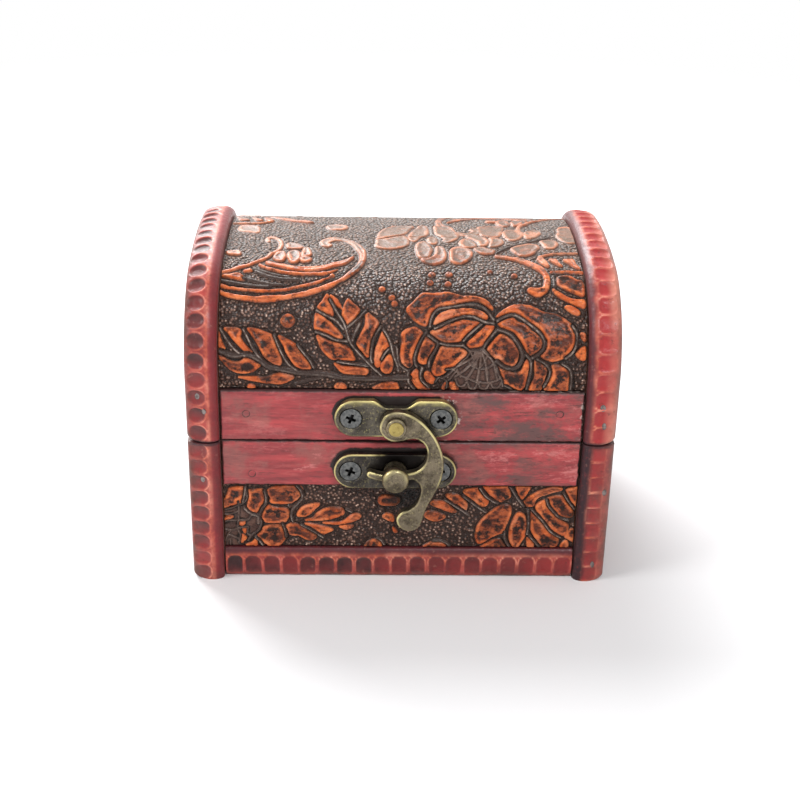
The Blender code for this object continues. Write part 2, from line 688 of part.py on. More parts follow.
def make_latch_plate(name, height, outline, hole_rise, hole_radius, carriers, parent):
    """A plate with its middle hole and two countersunk screws."""
    middle = (LATCH_X, (PLATE_BACK_Y + PLATE_FRONT_Y) / 2, height)
    mesh = plate_mesh(name, [outline, circle((0.0, hole_rise), hole_radius)], PLATE)
    plate = finish_piece(name, mesh, LATCH_BRASS, parent, place=Matrix.Translation(middle) @ FACING_FRONT)
    half_length = max(across for across, up in outline)
    for side, sign in (("left", -1), ("right", 1)):
        place = (LATCH_X + sign * SCREW_PLACE_SHARE * half_length, PLATE_FRONT_Y, height)
        latch_screw(name + "_" + side + "_screw", place, [plate, *carriers], parent)
    return plate


def tongue_outline():
    """The curved tongue, concentric with the pivot so that it slides through the post's groove."""
    middle_radius = TONGUE_INNER_RADIUS + TONGUE_WIDTH / 2
    outline = arc((0.0, 0.0), TONGUE_INNER_RADIUS, TONGUE_START_DEG, TONGUE_END_DEG, HOOK_STEPS)
    tip_turn = math.radians(TONGUE_END_DEG)
    tip = (middle_radius * math.cos(tip_turn), middle_radius * math.sin(tip_turn))
    outline += arc(tip, TONGUE_WIDTH / 2, TONGUE_END_DEG + 180.0, TONGUE_END_DEG + 360.0, 6)[1:-1]
    outline += arc((0.0, 0.0), TONGUE_OUTER_RADIUS, TONGUE_END_DEG, TONGUE_START_DEG, HOOK_STEPS)
    return outline


def make_hook():
    pivot = Matrix.Translation((LATCH_X, (HOOK_BACK_Y + HOOK_FRONT_Y) / 2, PIVOT_HEIGHT)) @ FACING_FRONT
    curve = flat_curve("latch_hook", HOOK)
    shares = EYE_SHARES + BACK_SHARES + THUMB_SHARES + THROAT_SHARES
    add_smooth_outline(curve, [(across * PIVOT_TO_KNOB, up * PIVOT_TO_KNOB) for across, up in shares])
    add_outline(curve, circle((0.0, 0.0), PIVOT_RADIUS + GAP))
    hook = finish_piece("latch_hook", curve_mesh("latch_hook", curve), LATCH_BRASS, HOOK_AXIS, place=pivot)
    tongue_mesh = plate_mesh("latch_hook_tongue", [tongue_outline()], HOOK)
    tongue = finish_cutter("latch_hook_tongue", tongue_mesh, pivot)
    boolean(hook, tongue, "UNION")
    swell = cylinder_mesh("latch_hook_swell", THUMB_SWELL_RADIUS, 0.0, HOOK / 2 + THUMB_SWELL, SMALL_STEPS)
    across, up = [sum(column) / len(THUMB_SHARES) * PIVOT_TO_KNOB for column in zip(*THUMB_SHARES)]
    thumb = pivot @ Matrix.Translation((across, up, 0.0))
    boolean(hook, finish_cutter("latch_hook_swell", swell, thumb), "UNION")
    return hook


def make_pivot_rivet():
    """The rivet that carries the hook: its shank fills the plate's hole and its head holds the hook on."""
    head_front = -PIVOT_HEAD_Y + PIVOT_HEAD
    shank_back = -PLATE_BACK_Y
    profile = [(0.0, head_front), (PIVOT_HEAD_RADIUS * 0.75, head_front),
               (PIVOT_HEAD_RADIUS, head_front - PIVOT_HEAD / 3), (PIVOT_HEAD_RADIUS, -PIVOT_HEAD_Y),
               (PIVOT_RADIUS, -PIVOT_HEAD_Y), (PIVOT_RADIUS, shank_back), (0.0, shank_back)]
    place = Matrix.Translation((LATCH_X, 0.0, PIVOT_HEIGHT)) @ FACING_FRONT
    finish_piece("latch_pivot_rivet", turned_mesh("latch_pivot_rivet", profile, ROUND_STEPS),
                 LATCH_BRASS, LID_AXIS, place=place, smooth_deg=35)


def make_knob():
    """The post that the tongue swings into: a round post with a head, grooved from above for the tongue."""
    head_back = -KNOB_HEAD_Y
    head_front = head_back + KNOB_HEAD
    profile = [(0.0, head_front), (KNOB_RADIUS * 0.8, head_front),
               (KNOB_RADIUS, head_front - KNOB_HEAD / 3),
               (KNOB_RADIUS, head_back), (KNOB_POST_RADIUS, head_back), (KNOB_POST_RADIUS, -PLATE_BACK_Y),
               (0.0, -PLATE_BACK_Y)]
    place = Matrix.Translation((LATCH_X, 0.0, KNOB_HEIGHT)) @ FACING_FRONT
    knob = finish_piece("latch_knob", turned_mesh("latch_knob", profile, ROUND_STEPS), LATCH_BRASS, BASE,
                        place=place, smooth_deg=35)
    floor = PIVOT_TO_KNOB - TONGUE_OUTER_RADIUS - GAP
    bm = bmesh.new()
    reach = KNOB_RADIUS + OVERRUN
    add_box(bm, (-reach, floor, -PLATE_FRONT_Y), (reach, reach, head_back))
    boolean(knob, finish_cutter("latch_knob_groove", mesh_from(bm, "latch_knob_groove"), place))


def make_latch(base_parts, lid_parts):
    upper = lobed_outline(PLATE_HALF_LENGTH, PLATE_LOBE_RADIUS, PLATE_NECK_DIP)
    make_latch_plate("latch_plate", PLATE_HEIGHT, upper, -PLATE_RISE, PIVOT_RADIUS + GAP,
                     [lid_parts["front_strip"], lid_parts["vault"]], LID_AXIS)
    lower = lobed_outline(KEEPER_HALF_LENGTH, KEEPER_LOBE_RADIUS, 0.0)
    make_latch_plate("keeper_plate", KNOB_HEIGHT, lower, 0.0, KNOB_POST_RADIUS + GAP,
                     [base_parts["front_strip"], base_parts["front_wall"]], BASE)
    make_pivot_rivet()
    make_knob()
    make_hook()


# Hinges
def hinge_leaf(name, x, way, knuckles, parent):
    """A leaf that rises (way 1) or hangs (way -1) from the barrel, with (start, end) of each knuckle."""
    clear = BARREL_RADIUS + GAP
    bottom, top = sorted((SEAM_HEIGHT + way * clear, SEAM_HEIGHT + way * HINGE_LEAF_HEIGHT))
    leaf = box(name, (x - HINGE_WIDTH / 2, LEAF_INNER_Y, bottom), (x + HINGE_WIDTH / 2, LEAF_OUTER_Y, top),
               HINGE_BRASS, parent)
    for index, (start, end) in enumerate(knuckles):
        label = name + "_knuckle_" + str(index)
        near, far = sorted(SEAM_HEIGHT + way * rise for rise in (BARREL_RADIUS / 3, clear + HINGE_LEAF))
        tab = box_mesh(label + "_tab", (start, LEAF_INNER_Y, near), (end, LEAF_OUTER_Y, far))
        boolean(leaf, finish_cutter(label + "_tab", tab), "UNION")
        barrel = cylinder_mesh(label, BARREL_RADIUS, start, end, SMALL_STEPS)
        place = Matrix.Translation((0.0, HINGE_Y, SEAM_HEIGHT)) @ ALONG_X
        boolean(leaf, finish_cutter(label, barrel, place), "UNION")
    bore = cylinder_mesh(name + "_bore", PIN_RADIUS + GAP, x - HINGE_WIDTH, x + HINGE_WIDTH, SMALL_STEPS)
    axis = Matrix.Translation((0.0, HINGE_Y, SEAM_HEIGHT)) @ ALONG_X
    boolean(leaf, finish_cutter(name + "_bore", bore, axis))
    return leaf


def make_hinge(side, x, base_parts, lid_parts):
    """A small butt hinge: the lid's leaf has the middle knuckle, the base's leaf the outer two."""
    start, end = x - HINGE_WIDTH / 2, x + HINGE_WIDTH / 2
    third = HINGE_WIDTH / 3
    lid_leaf = hinge_leaf(side + "_hinge_lid_leaf", x, 1,
                          [(start + third + GAP / 2, end - third - GAP / 2)], LID_AXIS)
    base_leaf = hinge_leaf(side + "_hinge_base_leaf", x, -1,
                           [(start, start + third - GAP / 2), (end - third + GAP / 2, end)], BASE)
    profile = [(0.0, end + GAP + PIN_HEAD), (PIN_HEAD_RADIUS, end + GAP + PIN_HEAD),
               (PIN_HEAD_RADIUS, end + GAP), (PIN_RADIUS, end + GAP), (PIN_RADIUS, start), (0.0, start)]
    place = Matrix.Translation((0.0, HINGE_Y, SEAM_HEIGHT)) @ ALONG_X
    finish_piece(side + "_hinge_pin", turned_mesh(side + "_hinge_pin", profile, SMALL_STEPS),
                 HINGE_BRASS, BASE, place=place)
    for sign, label in ((-1, "left"), (1, "right")):
        nail_x = x + sign * NAIL_PLACE_SHARE * HINGE_WIDTH
        for way, leaf, carriers, parent in ((1, lid_leaf, lid_parts, LID_AXIS),
                                            (-1, base_leaf, base_parts, BASE)):
            shell = carriers["vault"] if way > 0 else carriers["back_wall"]
            height = SEAM_HEIGHT + way * NAIL_HEIGHT_SHARE * HINGE_LEAF_HEIGHT
            owner = "lid" if way > 0 else "base"
            name = side + "_hinge_" + owner + "_" + label + "_nail"
            pierced = [leaf, carriers["back_strip"], shell]
            hinge_nail(name, (nail_x, LEAF_OUTER_Y + GAP, height), pierced, parent)


clear_scene()
PARTS = new_collection("treasure_chest")
CUTTERS = new_collection("cutters")

MOULDING_RED = new_material("moulding_red", (0.400, 0.060, 0.040), 0.38)
STRIP_RED = new_material("strip_red", (0.430, 0.062, 0.070), 0.45)
LEATHER_BROWN = new_material("leather_brown", (0.070, 0.045, 0.034), 0.40)
INNER_WOOD = new_material("inner_wood", (0.300, 0.110, 0.060), 0.65)
LATCH_BRASS = new_material("latch_brass", (0.300, 0.255, 0.120), 0.38, 0.9)
HINGE_BRASS = new_material("hinge_brass", (0.280, 0.235, 0.110), 0.42, 0.9)
SCREW_STEEL = new_material("screw_steel", (0.130, 0.130, 0.130), 0.40, 0.9)

BASE = new_axis("base_origin", (0.0, 0.0, 0.0))
LID_AXIS = new_axis("lid_hinge_axis", (0.0, HINGE_Y, SEAM_HEIGHT), BASE)
HOOK_AXIS = new_axis("hook_pivot_axis", (LATCH_X, HOOK_BACK_Y, PIVOT_HEIGHT), LID_AXIS)

base_pieces = make_base()
lid_pieces = make_lid()
make_latch(base_pieces, lid_pieces)
for hinge_side, hinge_sign in (("left", -1), ("right", 1)):
    make_hinge(hinge_side, hinge_sign * HINGE_X, base_pieces, lid_pieces)
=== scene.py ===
import math
from collections import namedtuple

import bmesh
import bpy
import numpy as np
from mathutils import Matrix, Vector


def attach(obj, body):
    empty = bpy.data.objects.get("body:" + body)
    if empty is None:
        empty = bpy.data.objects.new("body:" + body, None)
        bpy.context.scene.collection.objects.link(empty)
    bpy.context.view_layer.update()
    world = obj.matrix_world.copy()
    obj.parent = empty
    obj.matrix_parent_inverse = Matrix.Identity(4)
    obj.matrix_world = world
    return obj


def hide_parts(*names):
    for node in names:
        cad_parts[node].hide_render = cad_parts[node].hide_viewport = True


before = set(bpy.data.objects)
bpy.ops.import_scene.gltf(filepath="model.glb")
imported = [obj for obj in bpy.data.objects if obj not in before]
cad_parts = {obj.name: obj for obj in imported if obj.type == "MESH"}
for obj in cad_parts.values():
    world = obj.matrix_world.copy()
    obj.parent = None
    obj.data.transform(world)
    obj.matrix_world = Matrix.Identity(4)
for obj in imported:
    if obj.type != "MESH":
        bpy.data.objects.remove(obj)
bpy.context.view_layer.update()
MM = 0.001

# Sizes in mm that the pieces below share with the CAD nodes
DEPTH, HEIGHT, SEAM, GAP = 60.0, 62.0, 30.0, 0.3
BASE_TOP, LID_BOTTOM = SEAM - 0.09, SEAM + 0.09
POST_TOP, RIB_BOTTOM = SEAM - 0.20, SEAM + 0.16
SHOULDER_R, CROWN_R = 19.0, 98.0
SHOULDER_Y = DEPTH / 2 - SHOULDER_R
JOIN = math.asin(SHOULDER_Y / (CROWN_R - SHOULDER_R))
CROWN_Z = HEIGHT - CROWN_R
SPRING_Z = CROWN_Z + (CROWN_R - SHOULDER_R) * math.cos(JOIN)
STRIP_DROP, LEATHER_DROP, SEAT_DROP = 1.0, 2.0, 2.8
FIELD_X, MOULDING_X, MOULDING_W = 33.7, 34.0, 6.0
SHELL_Y = 26.9
SEAT_X, END_LEATHER_X, END_STRIP_X = 38.0, 38.8, 39.8
LID_STRIP_TOP, LID_LEATHER_Z = 40.3, 40.6
BASE_STRIP_Z, BASE_LEATHER_TOP, BASE_LEATHER_Z, FOOT_TOP = 20.5, 20.2, 6.7, 6.4
LATCH_X, PIVOT_Z, KNOB_Z, PLATE_Z = -1.2, 34.85, 24.5, 35.55
PLATE_BACK, PLATE_FRONT = 29.3, 30.6
HOOK_BACK, HOOK_FRONT = 30.9, 32.5

# Embossed ornament, in mm: x across the front, y up from the lower edge of the lid's leather
# or, on the base, from the floor. Semicolons part the outlines, a slash parts a band's lower and upper edge,
# a rod or a cord starts with half its width, and a dot is x, y and radius. The nets lie in the hearts.
LID_FACETS = """
-24.5,28.8 -23.8,30.8 -22.6,31.4 -22.2,29.4 -22.6,27.4 -23.6,27.4; -21.8,30.8 -20.6,32.0 -19.5,30.9
-19.3,28.6 -20.2,26.8 -21.4,27.4; -19.3,28.6 -18.3,29.0 -17.2,28.5 -17.7,27.2 -19.0,27.2; 11.1,36.3
12.1,38.6 13.6,37.3 14.3,34.8 12.8,34.1 11.7,34.5; 6.0,45.4 7.0,45.9 8.0,45.1 6.9,42.4; 20.0,42.9 22.4,44.1
24.0,42.5 23.0,39.0 20.8,38.2; 24.5,43.0 26.4,44.3 27.5,42.6 26.1,39.8 24.3,39.5; -34,11.2 -33.6,10.2
-33.2,8.8 -32.6,7.5 -33.3,7.4 -34,8.4; -32.6,11.2 -29.8,11 -29.8,9.5 -28.5,7.7 -27.7,6.8 -29,7.2 -30.7,8.8
-31.8,10.2; -28.4,11.2 -26.8,11 -25.2,10.5 -23.8,9.8 -23.3,8.7 -22.7,6.7 -22.3,5.2 -22.7,4.5 -24,5 -25.3,6
-26,7.2 -26.8,8.7 -27.7,10; -22.8,9.8 -21.8,9.5 -20,8.5 -18.7,7.3 -17.5,5.7 -16.8,4.3 -17.5,3.75 -19,4
-20.2,5 -21.2,6.5 -21.8,8; -34,6.7 -33,6 -31.8,5.2 -30.2,5 -28.5,5.8 -27,5.2 -26.2,4.5 -26.8,3.8 -27.8,3.1
-29.8,2.9 -31.5,3.5 -32.7,4.7 -33.5,5.8; -30.1,2.1 -27.3,2.2 -25.2,2.1 -23.3,2.75 -21.7,3 -20.7,2.7
-20.1,2.1 -20.8,1.5 -22.3,.85 -24.3,.9 -26.8,1.25 -28.7,1.7; -28.4,0 -28.3,.5 -27.6,.5 -27.2,0; -14,18
-15,16.5 -15.8,15.2 -14.5,14.2 -13,13.7 -13.3,15.5; -13.5,17.8 -12.2,16.9 -11.3,15.1 -12.4,16; -16,14.2
-15,13.8 -14,12.8 -13,12 -11.8,10.7 -11.2,9.7 -12.3,9.7 -14,10.5 -15.3,11 -16.2,11.3 -16.3,12.8; -15.8,9.9
-14.6,9.4 -13.2,8.8 -11.4,8.4 -10.2,7.9 -9.6,7.2 -9.3,6.6 -8.9,5.6 -10,5.6 -11.5,5.7 -13,5.7 -14.2,6.7
-15.2,8; -12.6,4.9 -11.2,4.3 -9,4.15 -7.2,4 -6.5,3.5 -7,2.7 -8.7,2.65 -10.3,2.8 -11.5,3.5; -10.2,17
-9.4,16.2 -8.3,15.2 -8.2,14.6 -9,13.4 -10,12.1 -10.7,12.5 -11.2,13.6 -11.1,15.2 -10.7,16.3; -6.8,14.2
-6,13.8 -4.8,12.8 -4.7,12 -5.2,11.2 -5.8,9.7 -6.2,8.2 -6.3,6.7 -6.7,6.2 -7.5,7.2 -8.5,8.5 -8.3,9.3 -7.7,10.5
-7,12.2; -3.8,10.7 -3.2,9.7 -2.7,8.7 -3.2,7.3 -4.2,6.2 -4.3,4.7 -4.8,4.3 -5.2,5 -5.2,6.7 -4.8,8.3 -4.3,9.7;
-2.5,6.5 -2,5.3 -2,4.3 -2.5,3.3 -3.3,3.1 -4,3.7 -4,4.8 -3.3,5.8; -5.4,0 -4.3,.8 -2.8,1.2 -1.3,1.1 -1,.6
-1.2,0; -12.4,.1 -12.1,.9 -11,.85 -10.5,.3 -10.7,0; .6,15 1.2,16 2,16.8 2.7,17.7 3.7,18.5 5.7,18.4 8,18.7
9.6,18.3 11.2,17.9 13.3,17.8 14.8,17.3 15.8,16.4 16.3,15.2 15,16.2 13.5,16.9 12,16.9 10.3,16.6 8.6,16
6.6,15.5 5.4,15 4.8,14 4.4,13 4.1,12 3.3,12.1 2.2,12.8 1.2,13.8; 5.6,12.3 5.9,13.3 6.7,14.2 8,14.8 9.7,15.1
11.3,15.3 13,15.1 14.4,14.6 15.3,13.9 15,13.3 14,13.8 12.5,14.2 11,14.3 9.6,13.9 8,13.4 6.6,12.7; 5,10.8
6.7,11.5 8.5,12.2 9.9,12.8 11.2,13 12.5,12.9 13.9,12.5 13.6,11.8 12.5,10.8 11.4,9.9 10.3,9.3 9,9.1 7.3,9.2
6,9.9; 15.2,12.1 16.4,12 16,10.9 15.1,9.5 14.4,8.3 13.2,7.8 12,8.2 11.7,8.8 12.7,9.8 14,11; -.3,10.5 .7,11.3
2.2,11.6 3.5,10.5 3,9.3 2.3,8 1.8,6.7 1.7,5.3 1.2,4.3 .3,4.7 -.5,5.7 -.5,7.3 -.3,8.8; 4.2,9.8 5.5,8.8
5.8,8.2 5.2,7 4.7,6 4.3,5.2 3.5,5 2.8,5.5 2.8,6.5 3.2,8 3.8,9.3; 7,8.1 8.8,8.1 10.2,7.9 11.4,7.3 11.8,6.4
10.9,5.8 9.7,5 8.3,4 7.2,3 6,2.7 5.4,3.5 5.5,4.7 6,6 6.5,7.2; 2.4,3.8 1.7,3.2 1.4,2.4 1.9,1.3 3,0 4.9,0 4,1
3.2,2 2.9,3; 4,3.2 4.6,3.4 5.3,2.7 5.9,1.8 5.8,1.3 5.1,1.2 4.2,1.9; 7.3,0 7.5,.8 8,1.2 8.2,0; 8.7,1.2
9.3,1.3 10.2,0 9,0; 15.5,8 16.5,9.3 17.7,10.5 18.3,10.5 19.5,9.5 20.5,8.5 21,7 20.8,5.7 20,4.7 19,4.7 18,5.3
16.8,6.2 15.8,7.2; 17.3,12.8 18.5,13.2 20,13.5 20.8,12.8 22.3,12.3 23.3,11.3 24.5,10.3 25.2,9.3 25,8
24.2,7.2 23.2,6.8 22.5,7.7 21.8,9 20.8,10.5 19.7,11.3 18,11.8; 17,13.8 18,14.8 19.3,15.7 21,16.2 23,16
24.3,15.5 25.5,14.8 27,14.5 28.3,14.2 29.8,13.2 31,12.2 31.7,10.7 31.5,9 30.8,7.7 29.7,6.5 28.3,5.8 27,5.7
25.7,6.2 25.3,6.7 26.2,7.8 26.5,9.3 26,10.3 24.7,11.5 23.3,12.5 22.3,13.5 21,14.3 20,14.7 18.5,14.2; 17.2,5
18.2,4 19.3,3.5 20.8,3.3 21.8,4 22.5,5.7 22.9,5.2 23,3.7 23,2.3 22.5,1 21.7,0 20.3,.5 18.8,1.2 18.3,2.7
17.7,4; 24.2,5.8 25.2,5.2 26,4.7 26.3,3.7 26,2.3 25.7,1 25.2,0 23.3,0 23.8,1.3 24.2,2.7 24.2,4.3; 27.3,4.8
29.2,4.8 30.2,4.3 30.8,3 31,0 26.3,0 27,1.7 27.3,3; 31.7,7 32.5,8 33.3,8.2 33.3,6 32.3,6.2; 32.5,10.8
33.2,10.7 33.3,9.5 32.8,9.7; 29.7,15.8 30.5,16.1 32.3,15 32,14.3 30.7,14.8; -33.5,22.3 -31.8,22.8 -30.7,23
-29.8,22.3 -29.2,21.3 -30,21.2 -31.5,21.7 -33,21.9; -29.7,23.8 -28.5,24.3 -28.3,23.7 -29.2,23.5; -22,35.3
-20.2,35.2 -19.2,34 -19,33.2 -20,32.8 -22,33; -18.8,33 -18,33.3 -17.5,31.5 -17.4,30 -18.8,29 -19.2,30.5;
-32,44.7 -30.5,45.5 -28.5,45 -27.9,43 -28.1,41 -29.5,41.2 -31.7,42; -33.3,31 -31.5,31.5 -30.7,30.6 -31,29.8
-33,30; -14.8,45.8 -12.5,46.3 -10.7,45.8 -10.9,44 -12.3,43.2 -14.2,43.6; -5,38 -4.7,39.3 -4.5,41 -4,42.8
-3.3,44.2 -2,45.5 -1.3,46 2.3,46 1.8,44.3 1.3,42.7 .7,41.2 -.3,40.5 -2,39.7 -3.7,38.7; -4.8,37.7 -5,36
-5.2,34.7 -4.7,33.8 -3.7,33.3 -2,33.2 -.5,33.7 .3,34.3 1.1,35.2 1.3,37 1,39 .3,40 -.3,39.7 -2,38.8 -3.7,38;
1.5,37.7 1.3,39.3 1.6,41 2.3,43 3.1,44.7 3.6,46.2 5,46 5.3,43 5,40.5 3.8,39.3 3.2,38.2 2.5,37; 2.9,30
2.7,31.8 2.6,34.3 3,36 4,37 4.6,36.6 5,35.7 5.4,34.3 5.7,33 5.4,31.3 4.9,29.6 3.7,29.1; 5,38.5 5.4,36
6.5,35.8 6.8,37.2 6.8,38.6 6.1,39.5; 3.5,28.8 5.1,29.2 6.1,30.6 6.4,32.6 6.6,34.4 7.6,34.2 8.3,31.5 7.8,28.2
6.2,26.7 4.3,27.3; 6.4,46 6.5,43 6.8,41 7.5,38.7 8.6,36.8 10,37.6 11,39.5 10.7,42.5 9.5,46; 9.6,33.7
11.5,34.2 13.3,32.4 12.8,29.2 11,27.1 9.2,27.8 9,31; 12.8,39.3 12.7,40.5 13.5,41.7 14.5,41 16.3,39.3
16.8,37.3 16.5,35.7 15.7,35 15,35.3 14.7,37 13.8,38.3; 14,34 15.5,34.3 16.5,33.5 17.5,33 17.8,32 17,31.4
15.5,31.2 14.5,32 14,33; 17.2,39.3 19.3,38.5 19.7,36.7 18.4,35 16.9,34.8 17.3,37.3; 21,34.3 21.8,35.2 23,36
24.8,36.2 26.1,35.6 26.4,34.3 25.7,33 25,31.5 23.7,30.6 22.3,30.6 21.5,31.8 21,33; 27,37.8 28.7,38.5 30,37.7
30.2,36 29.3,34.3 28.3,34 27.5,34.7 27.3,36.2; 30.9,39 32,37.2 33.2,36.9 34,38 34,46 31.5,46 31,43 30.5,41;
15.5,46 15.3,43 15.5,41 17,40.2 18.5,40 19.3,40.5 19.8,43 20,46; 18,30.8 19.7,30.3 21.3,29.7 23.3,28.7
24.7,27.3 26,26 26.8,24.5 27.2,23 27.1,21 26.7,19.5 25.8,18.5 24.8,18 23.7,18.5 23,19.2 23.3,19.8 25.2,19.9
26,20.3 26.3,21.7 26.3,23 25.8,24.2 25,25.2 23.7,26.5 22.3,27.8 21,28.7 19.3,29.3 17.7,30; 25.5,29.2 26.5,30
27,28.5 27.5,27 27.2,26.2 26.3,27.3 25.7,28.5; 27.8,29.2 29,29.2 29.5,27.7 30,26.5 29.2,27 28.3,28.2;
30.5,29 32.3,29 32.7,27.3 33.3,25.5 32.3,26.2 31.2,27.7; 28.5,22.7 29.5,23 31,23 32.3,22 33.3,21.5 33.3,18.3
31.8,18.7 30.2,19.5 29,20.5 28.5,21.3; 27.7,19.7 29,18.7 30.3,17.8 31.8,17.3 33.3,17.3 33.3,15.7 32.3,16
30.7,16.8 29,17.8 27.8,19
"""
LID_BANDS = """
-34,18 -32.3,17.2 -30,16.7 -27.3,16.25 -25,16.2 -22.3,16.7 -19.8,17.2 -17.3,17.8 -15,18.7 -13.3,19.5
-12,20.7 -10.7,21.5 -9.3,23 -8.3,24.3 -7.5,26 -7,28 -6.9,30 -7,32 -7.6,34 -8.8,36 -10.6,37.8 -12.4,38.5
-14.2,38.4 -15.5,37.3 -15.9,35.8 -15.5,34.4 -14.6,33.6 -13.8,33.9 -13.4,34.8 -13.9,35.6 / -34,18.8
-32.3,18.2 -30,17.7 -27.3,17.5 -25,17.7 -22.3,17.8 -20,18.3 -17.3,19 -15,20 -13,21 -12,21.7 -11,22.7
-10.2,24 -9.3,25.3 -8.5,27.2 -8.2,29 -8.5,31 -9.1,33.2 -9.9,35 -11,36.4 -12.2,36.9 -13.2,36.6; -34,19.5
-32.3,19 -30,18.7 -27.3,18.4 -25,18.4 -22,18.7 -19.8,19.3 -17.3,20 -15.5,20.7 -14,21.7 -12.7,22.5 / -34,20.2
-32.3,19.7 -30,19.25 -27.3,19 -25,19 -22.3,19.25 -19.8,19.9 -17.3,20.7 -15.3,21.5 -14,22.3 -13.3,23.2;
-25.8,26.3 -24.7,25.7 -23,25 -21,24.2 -19,23.9 -16.5,23.9 -14.8,24.3 -13,25.3 -11,26.3 -9.8,27.8 -9.2,29.3 /
-25.7,27.2 -24.3,26.8 -22.7,26.2 -20.7,25.5 -19,25.25 -16.5,25.4 -14.8,25.8 -13.2,26.8 -11,28.2 -9.8,29.3;
-26.8,25.3 -25.3,24.3 -23.3,23.5 -21,22.9 -19,22.7 -16.3,22.75 -14,23 / -27,26.2 -25.7,25.3 -23.7,24.3
-21.3,23.7 -19,23.4 -16.3,23.4 -14.3,23.8 -13,24.3 -12.2,24.5
"""
LID_RODS = """
.5 -34,23.3 -32.3,23.9 -30.7,24.8 -29,25.8 -27.7,26.9 -26.5,27.9 -25.5,29.1 -25,30.3 -24.2,31 -23.4,33
-23.3,35.5 -24,37.4 -25.4,38.3 -26,37.4 -25.8,36.2; .38 27.7,24.4 30.5,24.4 33.5,24.2; .42 26,30.1 28.7,31.5
33.3,31.9
"""
LID_DOTS = """
5.3,23.2,.7 4.9,21,.6 8.25,20.7,.6 8.5,23.3,.7 -4,19.3,.6 -2.2,17.5,.6 -1.7,16.2,.6 16.2,24.2,.5 20.7,23,.6
-21.2,12.7,1.3
"""
LID_CORDS = """
.3 -33.5,11.2 -32.3,9.3 -30.7,7.3 -29,6.2; .3 -29.2,11 -28.3,9.3 -27.3,7.3 -26,5.8 -24.7,4.5 -23.2,3.7; .3
-23.6,10 -23,8.5 -22.2,6.7 -21.3,5.2 -20.2,4.1 -19.5,3.6; .3 -19.3,8.2 -18.2,6.8 -17,5.3 -16.4,4.1; .55
-34,7.1 -31,6.2 -28.5,6.4 -26.5,5.5 -24.5,4.2 -22,3.6 -19.5,3.1 -17,3 -14,2.8 -11,2.2 -6,2 1,2.2; .3 -19.7,1
-15,2.2; .3 -13.5,16.9 -12.2,14.4 -10.8,12.1 -9.8,9 -8.7,7.5 -7,5.7 -5.3,4 -4,2.8; .3 -6.9,14.6 -8.4,13.2
-10.2,11.6; .3 -8,12.3 -8.7,10.8 -9.3,9.2; .3 -4.2,11.75 -4.8,10.8 -5.5,9.3 -5.8,7.7 -5.9,6 -5.7,5.2; .3
-3.7,11.2 -2.8,9.8 -2.2,8.2 -1.7,6.3 -1,4.5 -.9,3.7; .25 -2.7,7.7 -3.5,6.7 -4,5.7; .25 -1.2,8 -.8,5.2 0,4.2
.8,3.7; .3 -15.9,14.7 -14.3,13.8 -12.3,12.7 -11,11.2; .3 -16,10.7 -14,10 -12.3,9.2 -10.3,9; .3 -12,5.25
-9.5,4.9 -6.5,4.5; .3 4.8,11.8 5,13 5.5,14.3 6.5,15.2 8,15.5 11,16 13.5,16 15,15.2 15.8,14.2 16.5,13.2; .3
5.7,11.5 6.8,12 8.3,12.8 9.5,13.3 11,13.7 12.5,13.8 14,13.2 15.2,12.7 16.5,12.5; .3 14.2,12.3 13,11.3
11.8,10.2 11,9.3; .3 17.2,11.5 16.2,10.3 15.2,9 14.5,8 13.2,7.6 12,7.5; .3 4.2,10.8 3.5,9.8 2.7,8.2 2.2,6.7
2.1,5.3 2.5,4.5; .3 4.5,10.2 5.7,9.3 6.3,8.7 5.7,7.3 4.8,5.7 4.7,4.5; .3 6.7,8.8 8,8.5 9.7,8.4 11,8.5; .3
1,3.5 .9,2.2 1.3,1 2.2,0; .3 3.5,4.3 3.2,3 3.5,1.7 4.7,.5; .42 17.5,11.3 19,10.8 20.3,9.7 21.3,8.2 21.8,6.7
21.5,5.3 20.5,4.3 19.3,4.2 18.2,4.7 17.2,5.5; .35 17.2,13 18.3,13.7 20,14.2 21.3,13.7 22.7,12.7 24,11.7
25.2,10.5 25.8,9.3 25.7,8 24.8,7 23.7,6.3; .3 31,12.2 31.8,10.7 31.7,8.8 31,7.3 29.8,6.2; .3 22.5,6.8
23.3,5.8 23.5,4.3 23.3,2.7 23,1 22.8,0; .25 18.8,.8 20,.2; .3 24.5,6 26,5.2 26.8,4.3 27,3.2 26.5,1.8 26,.7;
.3 29.2,5.2 30.5,4.3 31,3 31,0; .22 13.8,7.6 12.6,6.2 11,5.2 9.2,4.2 7.9,3.9; .22 13.9,7.4 12.8,5.6 11.3,3.9
9.5,2.6; .22 14,7.3 13.3,5.2 12.4,3.3 11.5,2; .22 14.2,7.3 14.1,5 13.8,3 13.5,1.5; .22 14.3,7.4 15,5.4
15.4,3.6 15.5,2; .22 14.5,7.5 15.9,6.2 16.9,4.9 17.5,3.5; .35 -28,24.5 -25.5,23.2 -23,22.3 -21.2,22; .35
-27.5,23.5 -25,22.2 -22.5,21.5 -19.5,21.4; .35 -29.5,21.8 -27,20.8 -24.5,20.2 -22.5,20; .35 -34,21 -31,20.3
-28,19.8 -25,19.6; .3 28,23 28.1,21.6 28,20.3; .35 18,31.7 20,34 22,35.7 24,36.7 26,38 28,39.2 29,40; .35
5.9,46 6,43.5 6.1,41 6.9,39.7 7.7,38.3
"""
